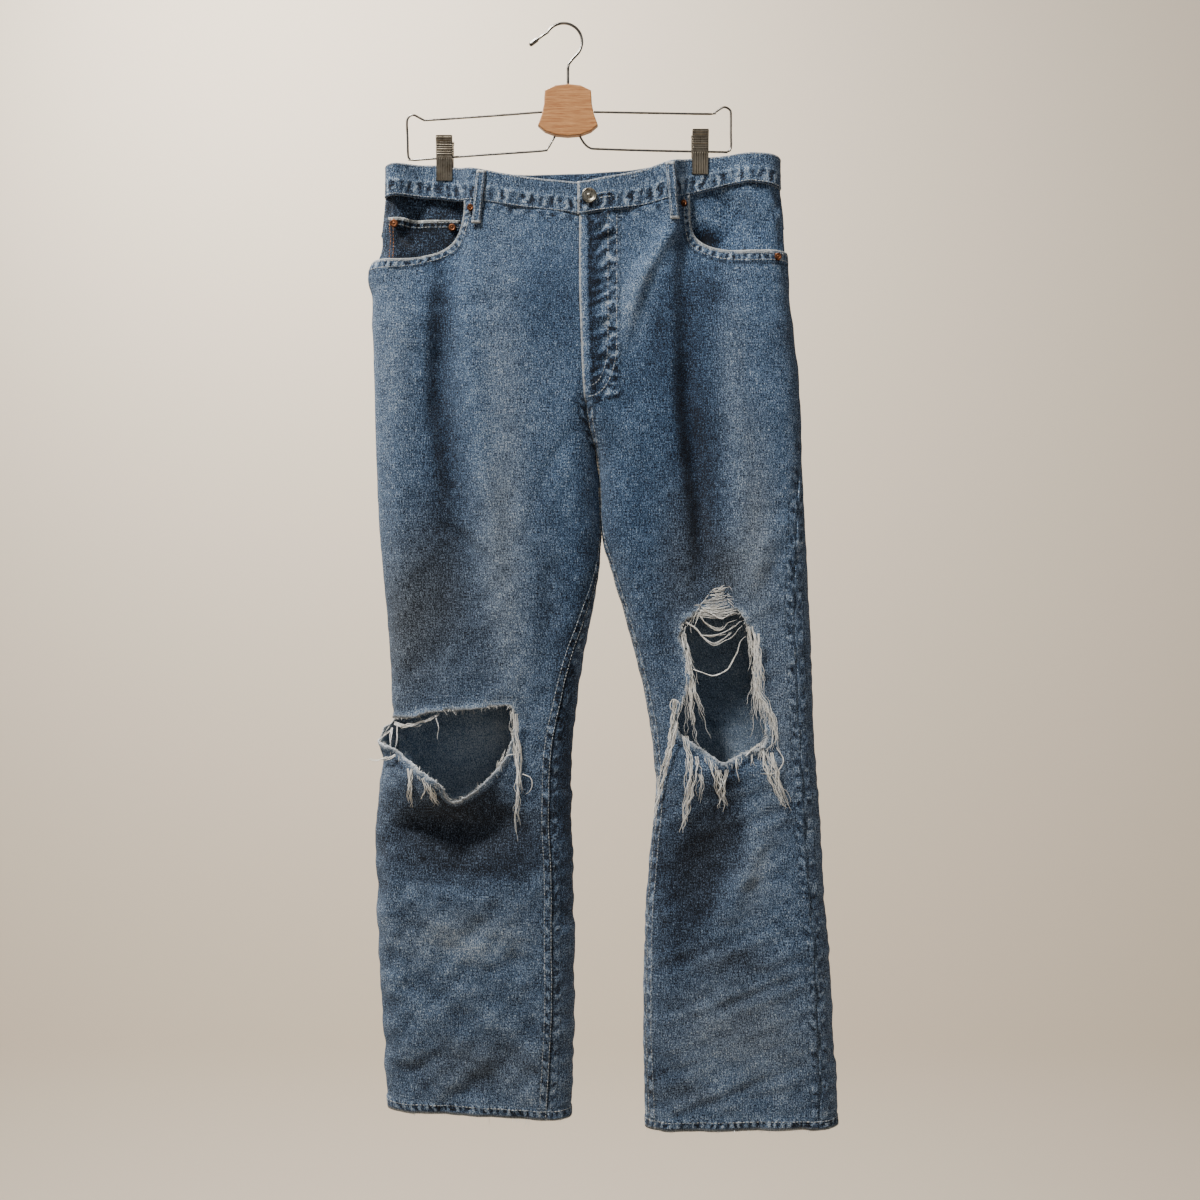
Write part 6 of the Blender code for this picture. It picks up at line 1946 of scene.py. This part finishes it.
# pulled threads over the knees: yarns, then in thousandths width at each end, how far forward, x and
# drop by turns
pulled = {
    "right": (
        (9, 3.4, 1.6, -1, -192, 802, -178, 804, -161, 800, -147, 795, -137, 787),
        (3, 2, 2, 1.2, -194, 807, -195, 820, -194, 831), (2, 1, 1, 1, -188, 805, -187, 818, -190, 830),
        (2, 1, 0.6, 1, -143, 795, -140, 807, -141, 818),
        (4, 2, 8, 1.6, -194, 809, -209, 822, -222, 830, -232, 836),
        (4, 4, 3, 2, -172, 850, -170, 865, -173, 877, -170, 898),
        (3, 2, 2, 2, -156, 860, -152, 874, -156, 881, -158, 887),
        (7, 6, 3, 2, -152, 858, -143, 876, -139, 892),
        (4, 4, 3, 1.2, -57, 785, -55, 807, -54, 824),
        (4, 4, 2.6, 2.4, -56, 812, -53, 831, -50, 860, -52, 894, -54, 908, -51, 931),
        (4, 3, 5, 3, -49, 820, -46, 837, -47, 860, -44, 880),
        (2, 0.6, 0.6, 3.4, -45, 858, -36, 863, -34, 870, -38, 878, -45, 881),
        (2, 0.6, 0.6, 3, -64, 838, -56, 836, -48, 837),
    ),
    "left": (
        (3, 1, 1, 1.4, 158, 672, 169, 678, 180, 683, 187, 679, 195, 675),
        (3, 1.2, 1.2, 1.6, 155, 680, 163, 690, 178, 695, 187, 687, 202, 682),
        (4, 1.4, 1.4, 1.8, 139, 687, 152, 696, 161, 707, 172, 711, 183, 705, 192, 696, 198, 687),
        (3, 1, 1, 1.6, 155, 702, 172, 702, 183, 698, 202, 685),
        (3, 0.8, 0.8, 2, 147, 740, 158, 744, 172, 747, 183, 742, 195, 724, 202, 707, 207, 702),
        (7, 7, 6, 0.8, 137, 700, 143, 735, 147, 775, 150, 809, 155, 833),
        (9, 5, 2.6, 1.6, 127, 775, 124, 800, 120, 830, 110, 871, 104, 894, 98, 924),
        (3, 1, 1, 4, 127, 790, 121, 782, 124, 774, 131, 777, 130, 790),
        (7, 13, 6, 2.2, 141, 815, 145, 840, 146, 865, 143, 888, 136, 920),
        (6, 5, 6, 2.2, 150, 838, 155, 865, 153, 896), (6, 13, 8, 2.2, 169, 838, 173, 860, 178, 880, 184, 899),
        (3, 1.4, 3, 1.8, 195, 840, 195, 854, 197, 866), (6, 6, 9, 2, 212, 692, 217, 725, 219, 760, 222, 800),
        (6, 6, 7, 2.6, 222, 765, 231, 780, 238, 800, 238, 820, 230, 834),
        (7, 6, 4, 2.6, 224, 826, 230, 855, 241, 880, 254, 899), (4, 4, 3, 2.6, 236, 840, 246, 872, 258, 902),
        (3, 1, 1, 3.4, 241, 828, 249, 843, 240, 856, 219, 857), (4, 2, 3, 3, 206, 838, 214, 830, 228, 822),
    ),
}


def buildPulledThreads():
    dice = np.random.default_rng(21)
    for leg, rows in pulled.items():
        for yarns, *row in rows:
            start, end, proud, *points = thousandths(tuple(row))
            path = onCloth(leg, pairs(points), proud)
            curl = 0.0004 if yarns < 5 else 0.0012
            bundle("pulled_threads_" + leg, dice, path, yarns, (start, end), curl, 1.5)
    for leg, rows in looseEnds.items():
        for count, *row in rows:
            short, long, lean, *points = thousandths(tuple(row))
            hanging("pulled_threads_" + leg, dice, leg, pairs(points), count, (short, long), lean, 1.1)


# the edges of the tears and the hems, as short loose ends
whiskerLook = {"pitch": 0.0011, "short": 0.0014, "long": 0.0060, "longShare": 0.14}


def buildWhiskers():
    dice = np.random.default_rng(33)
    for leg in ("right", "left"):
        pattern = patterns["front_panel_" + leg]
        ring = closed(pattern["tear"])
        middle = ring.mean(axis=0)
        along = runOf(ring)
        at = np.arange(0, along[-1], whiskerLook["pitch"])
        at = at + dice.uniform(-0.4, 0.4, len(at)) * whiskerLook["pitch"]
        base = np.stack([np.interp(at, along, ring[:, k]) for k in (0, 1)], axis=1)
        ahead = np.stack([np.interp(at + 0.002, along, ring[:, k]) for k in (0, 1)], axis=1)
        tangent = unit(ahead - base)
        inward = np.stack([-tangent[:, 1], tangent[:, 0]], axis=1)
        flip = (inward * (middle - base)).sum(axis=1) < 0
        inward[flip] *= -1
        for b, n, t in zip(base, inward, tangent):
            if dice.random() < 0.45:
                continue
            length = dice.uniform(whiskerLook["short"], whiskerLook["short"] * 2.2)
            if dice.random() < whiskerLook["longShare"]:
                length = dice.uniform(0.004, whiskerLook["long"])
            lean = dice.normal(0, 0.45)
            sag = 0.55 * length * abs(n[0])
            steps = np.linspace(0, 1, 5)[:, None]
            flat = b - n * 0.0012 + (n + t * lean) * steps * length + np.array([0.0, 1.0]) * sag * steps ** 2
            line = sample(pattern, flat[:, 0], flat[:, 1])
            line[:, 1] += -0.0006 * steps[:, 0] * dice.uniform(-1.5, 2.5) - 0.0010
            addYarn("tear_edges_" + leg, line, dice.uniform(0.45, 0.95))
        for face in ("front", "back"):
            hem = patterns[face + "_panel_" + leg]
            width = hem["end"][-1] - hem["start"][-1]
            for _ in range(int(width / 0.0016)):
                if dice.random() < 0.45:
                    continue
                s = hem["start"][-1] + dice.uniform(0.01, 0.99) * width
                root = sample(hem, [s], [hem["drops"][-1] - 0.0004])[0]
                root[1] += sign[face] * 0.0008
                length = dice.uniform(0.0012, 0.0048) * (2.4 if dice.random() < 0.05 else 1.0)
                steps = np.linspace(0, 1, 4)[:, None]
                line = root + np.array([dice.normal(0, 0.3), dice.normal(0, 0.15), -1.0]) * steps * length
                addYarn("hem_frays", line + np.array([dice.normal(0, 0.0006), 0, 0]) * steps ** 2,
                        dice.uniform(0.5, 0.95))


# each fringe solid becomes a hank of yarns along its own middle: yarns, widths, sideways shift
fringeLook = {"fringe_right_knee_1": (5, (0.003, 0.006), 0.0),
              "fringe_right_knee_2": (7, (0.006, 0.004), 0.0),
              "fringe_right_knee_3": (7, (0.006, 0.004), 0.0),
              "fringe_right_knee_4": (5, (0.005, 0.004), 0.0),
              "fringe_left_knee_1": (8, (0.006, 0.003), 0.0), "fringe_left_knee_2": (10, (0.016, 0.006), 0.0),
              "fringe_left_knee_3": (10, (0.014, 0.010), 0.0), "fringe_left_knee_4": (9, (0.010, 0.006), 0.0),
              "fringe_left_knee_5": (9, (0.006, 0.010), -0.008)}


def buildFringe(name, seed):
    points = corners(name)
    direction = np.linalg.svd(points - points.mean(0))[2][0]
    direction = -direction if direction[2] > 0 else direction
    along = (points - points.mean(0)) @ direction
    middle = []
    for level in np.linspace(along.min(), along.max(), 7):
        near = np.abs(along - level) < np.ptp(along) / 8
        group = points[near] if near.sum() > 2 else points[np.argsort(np.abs(along - level))[:4]]
        middle.append((group.min(0) + group.max(0)) / 2)
    yarns, widths, shift = fringeLook[name]
    bundle(name, np.random.default_rng(seed), np.array(middle) + np.array([shift, -0.0008, 0.0]), yarns,
           widths, 0.0012, 1.5)


fringeNames = [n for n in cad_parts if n.startswith("fringe")]
for seed, fringeName in enumerate(fringeNames):
    buildFringe(fringeName, 100 + seed)
buildPulledThreads()
buildWhiskers()

# the bared warp at the top of the left tear, a ragged ladder of thread
patchLook = {"drops": (0.646, 0.653, 0.660, 0.667, 0.673, 0.679),
             "left": (0.178, 0.167, 0.163, 0.157, 0.153, 0.152),
             "right": (0.187, 0.185, 0.186, 0.187, 0.192, 0.196), "pitch": 0.00112}


def buildPatch():
    dice = np.random.default_rng(45)
    drops = patchLook["drops"]
    rows = np.arange(drops[0], drops[-1], patchLook["pitch"])
    rough = np.cumsum(dice.normal(0, 0.0009, (2, len(rows))), axis=1)
    rough -= np.linspace(0, 1, len(rows)) * rough[:, -1:]
    for k, drop in enumerate(rows):
        left = np.interp(drop, drops, patchLook["left"]) + rough[0, k] + dice.normal(0, 0.0022)
        right = np.interp(drop, drops, patchLook["right"]) + rough[1, k] + dice.normal(0, 0.0026)
        share = (drop - drops[0]) / (drops[-1] - drops[0])
        t = np.linspace(0, 1, 9)
        sag = (0.0003 + 0.0034 * share ** 2) * np.sin(math.pi * t) - 0.0016 * (t - 0.5)
        sag = sag + 0.00025 * np.sin(t * 30 + k)
        line = np.stack([left + (right - left) * t, drop + dice.normal(0, 0.0002) + sag], axis=1)
        addYarn("bared_threads", onCloth("left", line, 0.0014 + 0.0004 * math.sin(k * 2.1)),
                dice.uniform(0.7, 1.2))
    for _ in range(24):
        k = dice.integers(0, len(rows))
        x = dice.choice((np.interp(rows[k], drops, patchLook["left"]),
                         np.interp(rows[k], drops, patchLook["right"])))
        out = math.copysign(1.0, x - 0.174)
        t = np.linspace(0, 1, 5)[:, None]
        reach = dice.uniform(0.003, 0.007)
        line = np.array([(x, rows[k])]) + np.array([(out, dice.normal(0, 0.5))]) * t * reach
        line = line + np.array([(0.0, 0.0025)]) * t ** 2
        addYarn("bared_threads", onCloth("left", line, 0.0020), 0.8)


buildPatch()


def buildYarns():
    tree = yarnTree("yarnTubes", materials["yarn"])
    for name, lines in yarnLines.items():
        rows = splineRows(name + "_lines", *zip(*lines))
        label = name + "_yarns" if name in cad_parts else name
        made[name] = grown(rows, tree, {"Radius": 0.00027, "Sides": 4}, label)


buildYarns()
print("yarns ready")


# what the rest of the hanger is finished in
for nodeName, finish in (("hanger_hook", "wire"), ("hanger_hook_tip", "wire"), ("hanger_wire_right", "wire"),
                         ("hanger_wire_left", "wire"), ("clip_right_spring", "wire"),
                         ("clip_left_spring", "wire"),
                         ("hanger_plate", "wood")):
    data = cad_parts[nodeName].data
    if not data.materials:
        data.materials.append(materials[finish])
    for k in range(len(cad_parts[nodeName].material_slots)):
        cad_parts[nodeName].material_slots[k].material = materials[finish]


def buildShield():
    # the fly's under layer, a plain strip behind the left front
    low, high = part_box("fly_shield")
    xs = (low[0], high[0])
    box = ((xs[0], -high[2]), (xs[0], -low[2]), (xs[1], -low[2]), (xs[1], -high[2]))
    line = []
    for (ax, ad), (bx, bd) in zip(box, box[1:] + box[:1]):
        steps = max(int(math.hypot(bx - ax, bd - ad) / 0.003), 2)
        line += [(ax + (bx - ax) * k / steps, ad + (bd - ad) * k / steps) for k in range(steps)]
    flat, faces = triangulate(np.array(line), [], 0.003)
    points = corners("fly_shield")
    # its middle surface, from the solid's front and back points
    position = np.zeros((len(flat), 3))
    position[:, 0], position[:, 2] = flat[:, 0], -flat[:, 1]
    aside, above = flat[:, None, 0] - points[None, :, 0], -flat[:, None, 1] - points[None, :, 2]
    distances = aside ** 2 + 0.25 * above ** 2
    nearest = np.argsort(distances, axis=1)[:, :8]
    weights = 1 / (np.take_along_axis(distances, nearest, axis=1) + 1e-6)
    position[:, 1] = (points[nearest, 1] * weights).sum(axis=1) / weights.sum(axis=1)
    normal = np.tile([0.0, -1.0, 0.0], (len(flat), 1))
    apart = np.array([0.0, 0.2, 0.0])
    backs = [face + leg for face in ("back_panel_", "back_yoke_") for leg in ("right", "left")]
    foremost = position[:, 1] + 0.2 - meets(position + apart, normal,
                                            ("front_panel_right", "front_panel_left"))
    rearmost = position[:, 1] - 0.2 + meets(position - apart, -normal, backs)
    position[:, 1] = np.minimum(np.maximum(position[:, 1], foremost + 0.0008), rearmost - 0.0008)
    clothPiece("fly_shield", flat, faces, position, normal, np.zeros(len(flat)), "pocket")


buildShield()


# floor, backdrop, light and camera
stageLook = {"floor": -2.75, "wall": 2.8, "curve": 0.6, "half": 4.5, "front": -4.0}


def buildStage():
    profile = [(stageLook["front"], stageLook["floor"]),
               (stageLook["wall"] - stageLook["curve"], stageLook["floor"])]
    for k in range(1, 13):
        a = math.pi / 2 * k / 12
        profile.append((stageLook["wall"] - stageLook["curve"] + stageLook["curve"] * math.sin(a),
                        stageLook["floor"] + stageLook["curve"] * (1 - math.cos(a))))
    profile.append((stageLook["wall"], 3.2))
    verts = [(x, y, z) for x in (-stageLook["half"], stageLook["half"]) for y, z in profile]
    n = len(profile)
    mesh = bpy.data.meshes.new("backdrop")
    mesh.from_pydata(verts, [], [(k, n + k, n + k + 1, k + 1) for k in range(n - 1)])
    mesh.polygons.foreach_set("use_smooth", [True] * len(mesh.polygons))
    paint, _, _ = startMaterial("pale backdrop", Roughness=0.9, Specular_IOR_Level=0.1,
                                Base_Color=linear(225, 211, 192))
    mesh.materials.append(paint)
    backdrop = link(bpy.data.objects.new("backdrop", mesh))


def addLight(name, place, aim, size, power, colour=(1.0, 1.0, 1.0)):
    lamp = bpy.data.lights.new(name, "AREA")
    lamp.shape = "RECTANGLE"
    lamp.size, lamp.size_y = size
    lamp.energy = power
    lamp.color = colour
    holder = link(bpy.data.objects.new(name, lamp))
    holder.location = place
    holder.rotation_euler = (Vector(aim) - Vector(place)).to_track_quat("-Z", "Y").to_euler()


lightLook = {"key": 142.0, "fill": 4.0, "wall": 185.0, "sky": 0.23}


def buildLights():
    addLight("key", (-1.0, -1.05, 1.75), (0.03, 0.0, -0.66), (0.42, 0.42), lightLook["key"],
             (1.0, 0.985, 0.95))
    addLight("fill", (1.7, -2.0, 0.1), (0.03, 0.0, -0.7), (2.2, 2.2), lightLook["fill"], (0.92, 0.96, 1.0))
    addLight("wall wash", (-1.3, 0.9, 1.9), (0.45, 2.8, -0.5), (1.8, 1.2), lightLook["wall"],
             (1.0, 0.975, 0.93))
    world = bpy.data.worlds.new("studio")
    world.use_nodes = True
    world.node_tree.nodes["Background"].inputs["Color"].default_value = (0.95, 0.97, 1.0, 1)
    world.node_tree.nodes["Background"].inputs["Strength"].default_value = lightLook["sky"]
    bpy.context.scene.world = world


cameraLook = {"sensor": 36, "lens": 38.2, "place": (0.042, -1.465, -0.662)}


def buildCamera():
    data = bpy.data.cameras.new("camera")
    data.sensor_width = cameraLook["sensor"]
    data.lens = cameraLook["lens"]
    holder = link(bpy.data.objects.new("camera", data))
    holder.location = cameraLook["place"]
    holder.rotation_euler = (math.pi / 2, 0, 0)
    bpy.context.scene.camera = holder


buildStage()
buildLights()
buildCamera()
print("stage ready")


for key, piece in made.items():
    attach(piece, "root")
    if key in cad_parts:
        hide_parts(key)

hangsFrom = dict.fromkeys(("front_panel", "back_yoke", "pocket_facing", "coin_pocket", "fly_shield"),
                          "waistband")
for leg in ("right", "left"):
    hangsFrom["back_panel_" + leg] = "back_yoke_" + leg
    hangsFrom["back_pocket_" + leg] = "back_panel_" + leg

for key in made:
    start = next((h for h in hangsFrom if key.startswith(h)), None)
    if start is None:
        continue

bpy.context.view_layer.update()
triangles = sum(len(o.data.loop_triangles) or 2 * len(o.data.polygons) for o in made.values())
print("pieces", len(made), "triangles", triangles)
